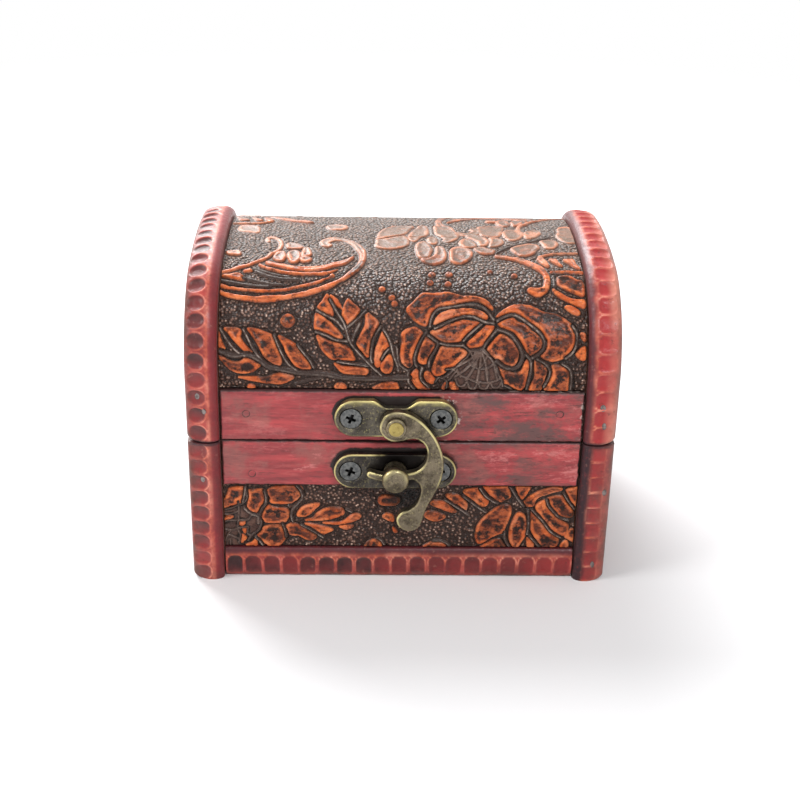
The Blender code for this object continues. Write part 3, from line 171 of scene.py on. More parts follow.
LID_NET = """
.2 10.9,8.4 12.1,7.6 13.5,7.4 14.7,7.8; .2 12.1,7.5 11.8,6.5 10.7,5.5 9.5,4.3 8.2,2.9 7.3,2.3; .14 12.2,7.5
12.7,6.1 13,4.7 12.2,3 11.5,1; .14 13.2,7.4 12.8,5.9 12.8,4.6; .14 13.3,7.4 13.5,6.2 13.4,4.4; .14 14.9,7.4
15.3,6.4 14.2,4.4; .2 14.9,7.6 16.2,6 17,4.1 18.2,1.9 18.4,.7; .16 11.8,5.7 12.7,4.6 14.6,4.1 16.2,4.7
16.8,5.6; .16 9.9,3.8 10.8,2.7 12.2,2.1 13.7,1.5 15.5,1.4 17.1,1.8 18,2.4; .16 9.6,2.1 10.2,.7 11.2,.7
11.8,1.6 12.3,.3 13.3,.2 13.8,1.5 14.3,.3 15.4,.2 16,1.5 16.6,.5 17.6,.5 18.2,1.7; .14 13.8,4.1 13.8,1.7;
.14 15.1,4.1 15.6,1.5; .14 16.7,4.5 17.4,1.9; .16 8.9,4.2 10.1,3.3 10.6,2.5; .16 9.9,4 8.6,2.1 7.9,1.6; .18
7.3,2.3 8.1,1.4 8,.1; .18 7.3,2.2 6.5,2.3 5.9,1.4
"""
LID_HEART = """
12.1,7.5 11.8,6.5 10.7,5.5 9.5,4.3 8.2,2.9 8.6,.2 13,0 18.4,.2 18.2,1.9 17,4.1 16.2,6 14.9,7.6 13.5,7.4
"""
BASE_FACETS = """
-31,12.1 -30.4,12.3 -29.9,11.8 -30.2,11.2 -30.9,11.3; -30.2,10.3 -29.6,10.4 -29.4,9.8 -29.9,9.4; -30.9,8.8
-30.2,9 -29.7,8.3 -30.2,7.7 -30.9,8; -33.4,13.3 -32.7,13.4 -32.1,13 -32.8,12.7; -34,16.6 -33.3,17.3
-32.8,18.6 -32.4,19.4 -30,19.6 -29.2,19 -29.4,17.6 -29.8,16.3 -31,15.6 -32.3,15.7 -33.2,15.1 -34,15;
-29,18.9 -27.7,19 -26.3,19.1 -25.8,17.8 -25.8,16.6 -26.2,15.6 -27,15.1 -27.5,14.1 -28.2,14.3 -29.2,15.1
-29.25,16.4 -29,17.8; -25.4,18.9 -24.3,19.6 -22.3,19.9 -21,19.8 -19,19.8 -18.8,18.4 -19.5,17.4 -20.4,16.5
-21.2,16.1 -23.2,16.1 -24.8,16.3 -24.8,17.3 -25.2,18.1; -25.2,15.6 -25.8,14.9 -26.2,13.9 -26.7,13.3
-26.1,12.3 -25.8,11.85 -24,11.8 -22.3,11.9 -21.7,12.6 -21.3,13.4 -21.5,14.4 -22,14.9 -23.7,15 -24.7,15.3;
-26,10.9 -26.5,9.9 -27.3,9.1 -27.5,8.6 -26.8,7.9 -25.7,6.9 -25.2,6.3 -24.7,6.2 -23.3,6.8 -22.5,7.6 -21.8,9.3
-21.9,10.6 -22.6,11.3; -29.8,6.6 -28.5,7.4 -27.8,8.1 -27.7,7.3 -27.8,6.1; -30.7,7.3 -30.9,8.2 -30.5,9.1
-30.1,8.3 -30.3,7.4; -34,12.3 -33.2,13 -32.7,12.7 -33.2,12.1 -34,11.8; -19.7,13.3 -19.5,14.3 -18.7,15.3
-17.7,15.8 -15.7,16.1 -15.7,15.6 -16.4,14.9 -17.1,14 -18,13.4 -18.7,13.2; -18.2,12.4 -16.8,12.9 -16,13.9
-14.8,14.8 -13.5,15.2 -12.2,15.2 -11.2,14.9 -10.8,13.9 -11.7,13.3 -13.2,12.8 -15.2,12.4 -16.7,12.35;
-14.8,11.8 -12,11.9 -10.7,12.4 -9.7,13.3 -8.7,13.85 -7.75,13.6 -7.7,12.9 -8.7,12.3 -10,11.9 -12,11.4
-13.3,11.5; -11.5,11.1 -9.3,11.3 -9.2,10.85 -10.2,10.35 -11.2,10.6; -18.3,11.6 -17.3,11.6 -16,11.3
-14.3,10.85 -13,10.3 -13.3,9.9 -14.2,9.5 -14.8,9.2 -15.8,9.9 -16.8,10.8; -21.8,11.1 -20.8,11.6 -19.8,11.4
-18.7,10.8 -17.8,9.9 -16.3,8.9 -16.3,8.3 -17.2,7.85 -18.2,8.2 -19.5,8.9 -21,9.1 -21.3,9.4 -21.6,10.4;
-4.2,17.1 -3.7,17.85 -2.7,18 -1.3,17.8 -.3,17.3 -.3,16.4 -1,15.85 -2.3,15.8 -3.5,15.85 -4.1,16.4; -3.3,13.3
-2.9,13.85 -2,13.9 -1.3,13.4 -1.25,12.3 -2,12.35 -2.8,12.8; -1.3,10.9 -.7,10.3 -.6,9.7 -1.2,10; -6.5,6.3
-6.5,7.1 -5.8,7.9 -4.8,8.1 -3.8,7.8 -3,6.9 -2.9,6.2; 4.5,6.1 5.3,7.1 6.3,7.6 7.3,7.7 8.5,7.4 9.3,6.8
9.6,6.1; 5.8,16.1 6.2,16.7 7,16.85 8.3,16.6 9.2,15.9 10.2,14.9 10.8,14.3 9.5,14.4 8,15.1 6.7,15.6; 4.7,13.9
5.3,14.5 6.3,14.5 7.8,13.9 8.7,13.3 8.2,12.8 7,12.35 5.8,12.6 4.8,13.3; 8.7,18.1 9.5,18.35 11,18.1 12,17.1
12.8,16.1 12.8,15.3 12.5,14.9 11.5,15.8 10.2,16.6 9.2,17.4; 12,18.9 12.7,19.4 14,19.6 15,19.6 15.5,18.6
16.3,17.4 16.8,16.8 16.5,15.9 15.8,15.6 15,16.1 14,16.9 12.8,17.9; 16,20.2 16.8,18.8 17.7,17.8 18.5,17.1
19.3,16.7 20,17.1 21,17.8 20.8,19.1 20.3,20.2; 15.3,7.4 14.75,8.6 14.75,9.9 15,11.3 15.5,12.4 16.5,13.6
17.7,14.8 18.8,15.6 20,16 21,15.8 21.3,14.9 21.2,13.6 20.8,12.3 20.3,10.9 20,9.9 18.8,9.4 17.7,8.8 16.5,7.9;
22.5,14.1 23.2,14.3 24,13.6 24.3,12.3 24.5,10.6 24.3,9.3 23.7,7.9 23.2,6.9 22.5,6.4 21.7,7.4 21.25,8.9
21.3,10.6 21.7,12.3 22.1,13.4; 25.1,14.3 25.5,14.1 26.3,13.1 27.3,11.9 28.3,10.8 29.7,9.6 30.8,8.6 30.7,7.3
29.8,6.3 28.5,6.1 27.3,7.3 26.5,8.6 25.7,9.8 25.3,11.3 25.2,12.8; 26.1,15.3 26.3,16.3 27.2,16.9 27.8,17
28.3,15.8 29.2,14.6 30.2,13.4 31.3,12.4 32.5,11.6 32.5,10.3 31.7,9.3 30.5,9.9 29.3,10.9 27.8,12.4 26.8,13.8;
28.2,17.4 29.2,17.9 30.7,18.1 31.2,17.6 32,16.3 33,15.1 33.3,13.9 32.7,13.4 31.3,13.6 30.2,14.3 29.3,15.3
28.8,16.4; 23.7,16.6 24.3,17.4 25.2,18.3 26.5,19.1 28.2,19.8 29.3,20.1 30.7,19.9 30.7,19.3 29.2,18.9
27.7,18.3 26.5,17.8 25.8,16.9 25.5,15.9 24.3,15.8; 22.2,20.2 24.8,20.2 24.2,18.8 23.3,17.3 23,17.4
22.5,18.8; 31.7,19.4 33,20 34,20 34,16 33.2,16.4 32.3,18.1; 15.5,6.1 16.5,7.1 17.8,7.9 19.3,8.35 20,7.4
20.8,6.4 21,6; 32,9.1 32.8,10.3 33.2,10.8 34,10.1 34,7.9 33,8.4; 31.5,7.3 32.2,8.1 32.7,7.6 32.8,6.1
31.5,6.1; 24.8,8.6 25.5,8.3 26,7.3 26,6.1 25.2,6.1 24.8,7.3
"""
BASE_CORDS = """
.3 -29.7,14.9 -28.8,14 -27.3,13.3; .28 -19,11.3 -17.4,10.4 -16,9.4 -14.8,8.6; .28 -10.3,14.9 -9.3,14.3; .3
-19.8,20 -19.1,19 -18.7,17.6 -19.4,16.4 -20.4,15.2 -20.9,13.6 -20.6,12; .3 -4.3,8.4 -3.5,7.9 -3,7; .3
8.5,17.1 9.8,16.2 11,15.4 13.2,13.8; .32 12,17.9 13.6,16.6 15,15.5 16.5,14.4; .32 15.2,19.6 15.8,18.6
16.7,17.6 17.7,16.9 18.7,16.4; .32 20.9,20 21.8,18.6 22.6,17.3 23.7,15.8; .3 25.3,15.1 26.3,13.9 27.7,12.3
29,10.4 30.2,9.4 31.3,8.8; .3 28.1,17.2 28.5,15.9 29.5,14.6 30.8,13.3 32.6,12.7; .3 25.2,9.1 26.2,7.9
27.5,6.3; .3 20.3,9.9 20.5,8.3 21.3,6.8 21.8,6.1; .3 24.6,15 24.8,13 24.9,11 24.7,9.5; .3 31.3,18.6
32.3,16.9 33.5,15.3; .35 -25.9,18.8 -25.6,17.2 -25.8,16 -26.4,15 -27,13.4 -27.2,11.8; .3 -29.5,19.8 -29.7,18
-30.1,16.4; .3 -22.6,11.6 -22.1,10 -21.9,8.6; .3 -27.9,8.6 -27,7.6 -26.2,6.3; .3 6.5,7.9 8,7.9 9.2,7.3
9.9,6.4
"""
BASE_NET = """
.2 -29.4,19 -29.3,17.2 -30.1,16 -31.5,15.4 -33.1,14.8 -34.2,14.6; .15 -31,16.4 -30.9,14.6 -31.1,12.2
-31.3,10.5; .2 -29.8,15.2 -28.4,13.6 -27.2,13.2 -26.6,11.8 -27.3,10 -28.6,8.9 -29.3,7.7; .15 -34.2,13.6
-32.6,13.6 -30.9,14.4; .15 -34.3,11.7 -32.7,12.2 -30.9,12.2 -29.3,12.4 -28.4,13.6; .15 -34.3,10.5 -32.6,10.1
-31.1,10.5 -29.2,10.8; .15 -32.6,10.1 -33.3,8.9 -33.9,7.2; .15 -31.2,10.3 -30.8,8.9 -31.1,7.3; .15
-29.2,10.8 -29.4,9.3 -28.6,8.9; .15 -33.3,8.9 -32.6,8.9 -31.2,8.1 -31,7.3; .15 -32.8,8.1 -32.7,6.8
"""
BASE_HEART = """
-34.2,14.6 -31.5,15.4 -29.8,15.2 -28.4,13.6 -27.2,13.2 -26.6,11.8 -27.3,10 -28.6,8.9 -29.3,7.7 -30.5,6.7
-34.2,6.7
"""


def points_of(words):
    return np.array([[float(part) for part in word.split(",")] for word in words.split()])


def facets_of(text):
    return [points_of(entry) for entry in text.split(";")]


def bands_of(text):
    edges = [[points_of(edge) for edge in entry.split("/")] for entry in text.split(";")]
    return [np.vstack([lower, upper[::-1]]) for lower, upper in edges]


def cords_of(text):
    entries = [entry.split(maxsplit=1) for entry in text.split(";")]
    return [(float(half_width), points_of(line)) for half_width, line in entries]


def smooth(points, closed, steps=5):
    """Catmull-Rom curve through the points."""
    if closed:
        p = np.vstack([points[-1:], points, points[:2]])
    else:
        p = np.vstack([2 * points[:1] - points[1:2], points, 2 * points[-1:] - points[-2:-1]])
    out = []
    for t in np.arange(steps) / steps:
        out.append(0.5 * (2 * p[1:-2] + (p[2:-1] - p[:-3]) * t
                          + (2 * p[:-3] - 5 * p[1:-2] + 4 * p[2:-1] - p[3:]) * t * t
                          + (3 * p[1:-2] - p[:-3] - 3 * p[2:-1] + p[3:]) * t ** 3))
    curve = np.stack(out, axis=1).reshape(-1, 2)
    return curve if closed else np.vstack([curve, points[-1:]])


def line_distance(x, y, line, closed=False):
    """Distance of each (x, y) from a polyline."""
    ends = np.vstack([line[1:], line[:1]]) if closed else line[1:]
    starts = line if closed else line[:-1]
    best = np.full(x.shape, 1e9)
    for (ax, ay), (bx, by) in zip(starts, ends):
        dx, dy = bx - ax, by - ay
        along = np.clip(((x - ax) * dx + (y - ay) * dy) / max(dx * dx + dy * dy, 1e-12), 0.0, 1.0)
        best = np.minimum(best, (x - ax - along * dx) ** 2 + (y - ay - along * dy) ** 2)
    return np.sqrt(best)


def depth_inside(x, y, outline):
    """Signed distance from a closed outline, positive inside."""
    inside = np.zeros(x.shape, bool)
    for (ax, ay), (bx, by) in zip(outline, np.vstack([outline[1:], outline[:1]])):
        if ay == by:
            continue
        crosses = ((ay > y) != (by > y)) & (x < (bx - ax) * (y - ay) / (by - ay) + ax)
        inside ^= crosses
    distance = line_distance(x, y, outline, True)
    return np.where(inside, distance, -distance)


def step_up(low, high, value):
    """Smooth step from 0 at low to 1 at high."""
    t = np.clip((value - low) / (high - low), 0.0, 1.0)
    return t * t * (3 - 2 * t)


# Embossing, in mm
FACET_RISE, FACET_DISH, GROOVE_DEPTH = 0.34, 0.17, 0.22
CORD_RISE, CORD_SIDE_DEPTH, HEART_RISE = 0.34, 0.12, 0.10
WALL_WIDTH, GROOVE_WIDTH, CORD_SIDE_WIDTH = 0.18, 0.37, 0.24
FACET_GROW, BAND_GROW, DOT_GROW, DOT_REACH, SLIM_CORD, THICK_CORD = 0.20, 0.05, 0.10, 1.2, 0.34, 0.46
OUTLINE_REACH, NOISE_CELL, FAR = 1.6, 0.8, 9.0
LIT_FROM = (-0.55, -0.84)  # weights of the slopes across and up

# Steps of the pieces' grids, in mm
FRONT_STEP, TOP_STEP, UNSEEN_STEP, MOULDING_STEP = 0.13, 0.15, 0.20, 0.16
FRONT_STRIP_STEP, UNSEEN_STRIP_STEP, STRIP_RISE_STEP = 0.2, 0.3, 0.2


class Relief:
    """The embossing over a panel, on a grid in mm."""

    def __init__(self, u, v):
        self.u, self.v = np.meshgrid(u, v)
        self.step = u[1] - u[0]
        self.facet = np.full(self.u.shape, -FAR)
        self.reach = np.ones(self.u.shape)
        self.cord = np.full(self.u.shape, FAR)
        self.tube = np.zeros(self.u.shape)
        self.girth = np.zeros(self.u.shape)
        self.heart = np.full(self.u.shape, -FAR)
        self.dull = np.zeros(self.u.shape)

    def window(self, line, margin=OUTLINE_REACH):
        """The part of the grid round a line, or None if it lies outside."""
        low, high = line.min(axis=0) - margin, line.max(axis=0) + margin
        rows = np.where((self.v[:, 0] > low[1]) & (self.v[:, 0] < high[1]))[0]
        columns = np.where((self.u[0] > low[0]) & (self.u[0] < high[0]))[0]
        if len(rows) == 0 or len(columns) == 0:
            return None
        return slice(rows[0], rows[-1] + 1), slice(columns[0], columns[-1] + 1)

    def add_facet(self, outline, steps=5, grow=FACET_GROW, least=0.2):
        """A raised outline, by grow larger than drawn; least is the least reach that it counts as having."""
        line = smooth(outline, True, steps)
        box = self.window(line)
        if box is None:
            return
        depth = depth_inside(self.u[box], self.v[box], line) + grow
        mine = depth > self.facet[box]
        self.reach[box] = np.where(mine & (depth > -0.3), max(depth.max(), least), self.reach[box])
        self.dull[box] = np.where(mine & (depth > -0.3), 1.0 if least > 1 else 0.0, self.dull[box])
        self.facet[box] = np.maximum(self.facet[box], depth)

    def add_rod(self, half_width, line):
        line = smooth(line, False)
        box = self.window(line, OUTLINE_REACH + half_width)
        if box is None:
            return
        depth = half_width - line_distance(self.u[box], self.v[box], line)
        self.facet[box] = np.maximum(self.facet[box], depth)
        self.reach[box] = np.where(depth > -0.3, half_width, self.reach[box])

    def add_cord(self, half_width, line):
        line = smooth(line, False)
        box = self.window(line)
        if box is None:
            return
        distance = line_distance(self.u[box], self.v[box], line)
        self.cord[box] = np.minimum(self.cord[box], distance - half_width)
        tube = 1 - distance / half_width
        self.girth[box] = np.where(tube > self.tube[box], half_width, self.girth[box])
        self.tube[box] = np.maximum(self.tube[box], tube)

    def add_heart(self, outline):
        box = self.window(outline, 1.0)
        if box is not None:
            depth = depth_inside(self.u[box], self.v[box], outline)
            self.heart[box] = np.maximum(self.heart[box], depth)

    def slope(self, field):
        """How far a field falls towards the upper right, from -1 to 1."""
        du = np.gradient(field, axis=1)
        dv = np.gradient(field, axis=0)
        return (LIT_FROM[0] * du + LIT_FROM[1] * dv) / np.maximum(np.hypot(du, dv), 1e-6)

    def finish(self, seed):
        """Height in mm and the masks of the leather's material."""
        rng = np.random.default_rng(seed)
        cells = max(2, round(NOISE_CELL / self.step))
        wander = soft_noise(self.u.shape, 3 * cells, rng)
        fine = soft_noise(self.u.shape, cells, rng)
        cord = self.cord + 0.04 * fine
        facet = np.minimum(self.facet + 0.05 * fine, cord - 0.06)
        lit = self.slope(-self.facet)
        outside = np.maximum(-facet, 0.0)
        on_facet = step_up(-0.04, 0.12, facet)
        off = 1 - on_facet
        groove = np.exp(-(outside / GROOVE_WIDTH) ** 2)
        wall = 1 - np.exp(-np.maximum(facet, 0) / WALL_WIDTH)
        cup = step_up(0.35, 1.2, facet)
        tube = np.clip(self.tube + 0.10 * fine * (self.tube > 0), 0, 1)
        cord_top = np.sqrt(1 - (1 - tube) ** 2)
        cord_high = np.minimum(CORD_RISE, 1.1 * self.girth + 0.04) * cord_top
        cord_side = np.exp(-(np.maximum(cord, 0) / CORD_SIDE_WIDTH) ** 2) * (cord > 0)
        inside = step_up(-0.1, 0.2, self.heart)
        height = FACET_RISE * wall - FACET_DISH * cup - GROOVE_DEPTH * groove * off
        height += off * (cord_high - CORD_SIDE_DEPTH * cord_side + HEART_RISE * inside)
        height += (0.05 * wander + 0.04 * fine) * on_facet
        edge = step_up(0.02, 0.16, facet)
        spread = 0.36 + 0.30 * wander + 0.20 * fine
        rim = edge * (1 - step_up(spread, spread + 0.42, facet))
        # rubbed orange rims with painted light: brighter where they slope towards LIT_FROM, the big dots'
        # rims duller there
        rim *= np.clip(0.86 + 0.20 * lit + 0.40 * wander, 0.0, 1.0)
        small = step_up(1.15, 0.65, self.reach)
        rim = np.clip(rim + 0.8 * edge * small, 0, 1) * (1 - 0.55 * self.dull * step_up(-0.6, 0.5, lit))
        dark = np.clip((groove * (1 - 0.9 * cord_top) + 0.75 * cord_side) * off, 0, 1)
        side_lit = np.clip(0.05 + 0.80 * self.slope(self.cord) + 0.6 * wander, 0.0, 1.0)
        vein = off * step_up(0.05, 0.35, cord_top)
        glint = off * step_up(0.70, 0.98, cord_top) * side_lit
        glint *= 0.45 + 0.55 * step_up(0.15, 0.30, self.girth)
        glint *= 1 - 0.75 * step_up(SLIM_CORD, THICK_CORD, self.girth)
        grain = step_up(0.10, 0.45, outside) * step_up(0.0, 0.22, cord) * (1 - inside)
        return height, {"rim": rim, "centre": step_up(0.04, 0.22, facet), "groove": dark, "vein": vein,
                        "glint": glint, "heart": inside * off, "grain": grain}


def soft_noise(shape, cell, rng):
    """Smooth random field, about -1 to 1, its patches that many cells across."""
    rows, columns = shape[0] // cell + 4, shape[1] // cell + 4
    coarse = rng.normal(size=(rows, columns))
    y = np.arange(shape[0]) / cell
    x = np.arange(shape[1]) / cell
    iy, ix = y.astype(int), x.astype(int)
    fy, fx = (y - iy)[:, None], (x - ix)[None, :]
    fy, fx = fy * fy * (3 - 2 * fy), fx * fx * (3 - 2 * fx)
    a = coarse[iy][:, ix] * (1 - fx) + coarse[iy][:, ix + 1] * fx
    b = coarse[iy + 1][:, ix] * (1 - fx) + coarse[iy + 1][:, ix + 1] * fx
    return np.clip((a * (1 - fy) + b * fy) * 0.7, -1, 1)


# Pieces
def linked(name, data):
    """A new object in the scene."""
    thing = bpy.data.objects.new(name, data)
    bpy.context.scene.collection.objects.link(thing)
    return thing


def mesh_from(bm, name):
    """A mesh of a finished bmesh."""
    mesh = bpy.data.meshes.new(name)
    bm.to_mesh(mesh)
    bm.free()
    return mesh


def dressed(name, mesh, sharp, material, body, nodes):
    """A smooth-shaded piece, sharp where its faces meet at more than that many degrees."""
    mesh.shade_smooth()
    if sharp is not None:
        mesh.set_sharp_from_angle(angle=math.radians(sharp))
    mesh.materials.append(material)
    piece = linked(name, mesh)
    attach(piece, body)
    if nodes:
        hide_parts(*nodes)
    return piece


def piece_from(name, points, faces, masks, material, body, nodes, sharp=None):
    """A piece from points in mm, with one float attribute per mask."""
    mesh = bpy.data.meshes.new(name)
    mesh.from_pydata((np.asarray(points) * MM).tolist(), [], faces)
    mesh.validate()
    for label, values in masks.items():
        layer = mesh.attributes.new(label, "FLOAT", "POINT")
        layer.data.foreach_set("value", np.asarray(values, np.float32))
    return dressed(name, mesh, sharp, material, body, nodes)


def grid_faces(rows, columns):
    """Quads of a grid whose points run row by row."""
    index = np.arange(rows * columns).reshape(rows, columns)
    quads = np.stack([index[:-1, :-1], index[:-1, 1:], index[1:, 1:], index[1:, :-1]], axis=-1)
    return quads.reshape(-1, 4)


def outwards(piece):
    """Turns all faces outwards."""
    bm = bmesh.new()
    bm.from_mesh(piece.data)
    bmesh.ops.recalc_face_normals(bm, faces=bm.faces)
    bm.to_mesh(piece.data)
    bm.free()


def sheet_piece(name, top, under, masks, material, body, nodes, arched=False):
    """A closed sheet: a dense top grid of points, and below it only the edge points of another grid."""
    rows, columns = top.shape[:2]
    count = rows * columns
    faces = grid_faces(rows, columns).tolist()
    index = np.arange(count).reshape(rows, columns).tolist()
    lower = np.concatenate([under[:, 0], under[:, -1]])
    left = list(range(count, count + rows))
    right = list(range(count + rows, count + 2 * rows))
    for j in range(rows - 1):
        faces.append([index[j][0], index[j + 1][0], left[j + 1], left[j]])
        faces.append([index[j + 1][-1], index[j][-1], right[j], right[j + 1]])
        if not arched:
            faces.append([left[j], left[j + 1], right[j + 1], right[j]])
    faces.append([left[0], right[0]] + index[0][::-1])
    if arched:
        crown = list(range(count + 2 * rows, count + 2 * rows + columns - 2))
        over = [left[-1]] + crown + [right[-1]]
        faces += [[index[-1][i], over[i], over[i + 1], index[-1][i + 1]] for i in range(columns - 1)]
        faces.append(left[:-1] + over + right[-2::-1])
        lower = np.concatenate([lower, under[-1, 1:-1]])
    else:
        faces.append([right[-1], left[-1]] + index[-1])
    filled = {label: np.concatenate([values.reshape(-1), np.full(len(lower), float(values.min()))])
              for label, values in masks.items()}
    points = np.vstack([top.reshape(-1, 3), lower])
    piece = piece_from(name, points, faces, filled, material, body, nodes)
    if arched:
        outwards(piece)
    return piece


def arch_lengths(drop, start_z):
    """Lengths of the lid's arch, a drop below the mouldings' tops: upright foot, one shoulder and crown."""
    return SPRING_Z - start_z, (SHOULDER_R - drop) * (math.pi / 2 - JOIN), (CROWN_R - drop) * 2 * JOIN


def vault_total(drop, start_z):
    straight, shoulder, crown = arch_lengths(drop, start_z)
    return 2 * (straight + shoulder) + crown


def vault_path(distance, drop, start_z):
    """(y, z, ny, nz) on that arch, at a distance along it from start_z at the front."""
    straight, shoulder, _ = arch_lengths(drop, start_z)
    total = vault_total(drop, start_z)
    s = np.asarray(distance, float)
    back = s > total / 2
    t = np.where(back, total - s, s)
    angle = math.pi - np.clip((t - straight) / (SHOULDER_R - drop), 0, math.pi / 2 - JOIN)
    on_shoulder = t >= straight
    y = np.where(on_shoulder, -SHOULDER_Y + (SHOULDER_R - drop) * np.cos(angle), -(DEPTH / 2 - drop))
    z = np.where(on_shoulder, SPRING_Z + (SHOULDER_R - drop) * np.sin(angle), start_z + t)
    over = t - straight - shoulder
    on_crown = over > 0
    crown_angle = math.pi / 2 + JOIN - over / (CROWN_R - drop)
    angle = np.where(on_crown, crown_angle, angle)
    y = np.where(on_crown, (CROWN_R - drop) * np.cos(crown_angle), y)
    z = np.where(on_crown, CROWN_Z + (CROWN_R - drop) * np.sin(crown_angle), z)
    sign = np.where(back, -1.0, 1.0)
    return y * sign, z, np.cos(angle) * sign, np.sin(angle)


# Materials
def srgb(r, g, b):
    """Linear colour from 8-bit values."""
    shares = (r / 255, g / 255, b / 255)
    return tuple(c / 12.92 if c < 0.04 else ((c + 0.055) / 1.055) ** 2.4 for c in shares) + (1.0,)


class Nodes:
    """Short calls for the node tree of a new material, or of the world."""

    def __init__(self, name, kind=bpy.data.materials):
        self.holder = kind.new(name)
        self.holder.use_nodes = True
        self.tree = self.holder.node_tree
        self.place = None

    def add(self, kind, **settings):
        node = self.tree.nodes.new("ShaderNode" + kind)
        for key, value in settings.items():
            setattr(node, key, value)
        return node

    def link(self, value, socket):
        if isinstance(value, bpy.types.NodeSocket):
            self.tree.links.new(value, socket)
        else:
            socket.default_value = value

    def where(self):
        if self.place is None:
            self.place = self.add("TexCoord").outputs["Object"]
        return self.place

    def mask(self, name):
        return self.add("Attribute", attribute_name=name).outputs["Fac"]

    def noise(self, scale, detail=3.0, rough=0.6, stretch=None):
        node = self.add("TexNoise")
        node.inputs["Scale"].default_value = scale
        node.inputs["Detail"].default_value = detail
        node.inputs["Roughness"].default_value = rough
        place = self.where()
        if stretch is not None:
            mapping = self.add("Mapping")
            mapping.inputs["Scale"].default_value = stretch
            self.link(place, mapping.inputs["Vector"])
            place = mapping.outputs["Vector"]
        self.link(place, node.inputs["Vector"])
        return node.outputs["Fac"]

    def cells(self, scale):
        node = self.add("TexVoronoi", feature="F1")
        node.inputs["Scale"].default_value = scale
        node.inputs["Randomness"].default_value = 1.0
        self.link(self.where(), node.inputs["Vector"])
        return node.outputs["Distance"]

    def math(self, operation, a, b=None, c=None, clamp=False):
        node = self.add("Math", operation=operation, use_clamp=clamp)
        for socket, value in zip(node.inputs, (a, b, c)):
            if value is not None:
                self.link(value, socket)
        return node.outputs[0]

    def times(self, a, b, clamp=False):
        return self.math("MULTIPLY", a, b, clamp=clamp)

    def swayed(self, value, noise, reach):
        """A value moved up and down by a noise."""
        return self.math("MULTIPLY_ADD", self.math("SUBTRACT", noise, 0.5), reach, value)

    def span(self, value, low, high, out_low=0.0, out_high=1.0):
        """Smooth step from out_low at low to out_high at high."""
        node = self.add("MapRange", interpolation_type="SMOOTHSTEP")
        for socket, item in zip(node.inputs, (value, low, high, out_low, out_high)):
            self.link(item, socket)
        return node.outputs[0]

    def mix(self, factor, a, b):
        """From a to b, each a colour socket or 8-bit values."""
        node = self.add("Mix", data_type="RGBA")
        self.link(factor, node.inputs[0])
        for socket, value in zip(node.inputs[6:8], (a, b)):
            self.link(srgb(*value) if isinstance(value, tuple) else value, socket)
        return node.outputs[2]

    def bump(self, height, strength, distance):
        node = self.add("Bump")
        node.inputs["Strength"].default_value = strength
        node.inputs["Distance"].default_value = distance
        self.link(height, node.inputs["Height"])
        return node.outputs["Normal"]

    def finish(self, colour, roughness, normal=None, **others):
        """The material, with these values or sockets at its surface shader."""
        inputs = self.tree.nodes["Principled BSDF"].inputs
        self.link(colour, inputs["Base Color"])
        self.link(roughness, inputs["Roughness"])
        if normal is not None:
            self.link(normal, inputs["Normal"])
        for label, value in others.items():
            self.link(value, inputs[label.replace("_", " ")])
        return self.holder


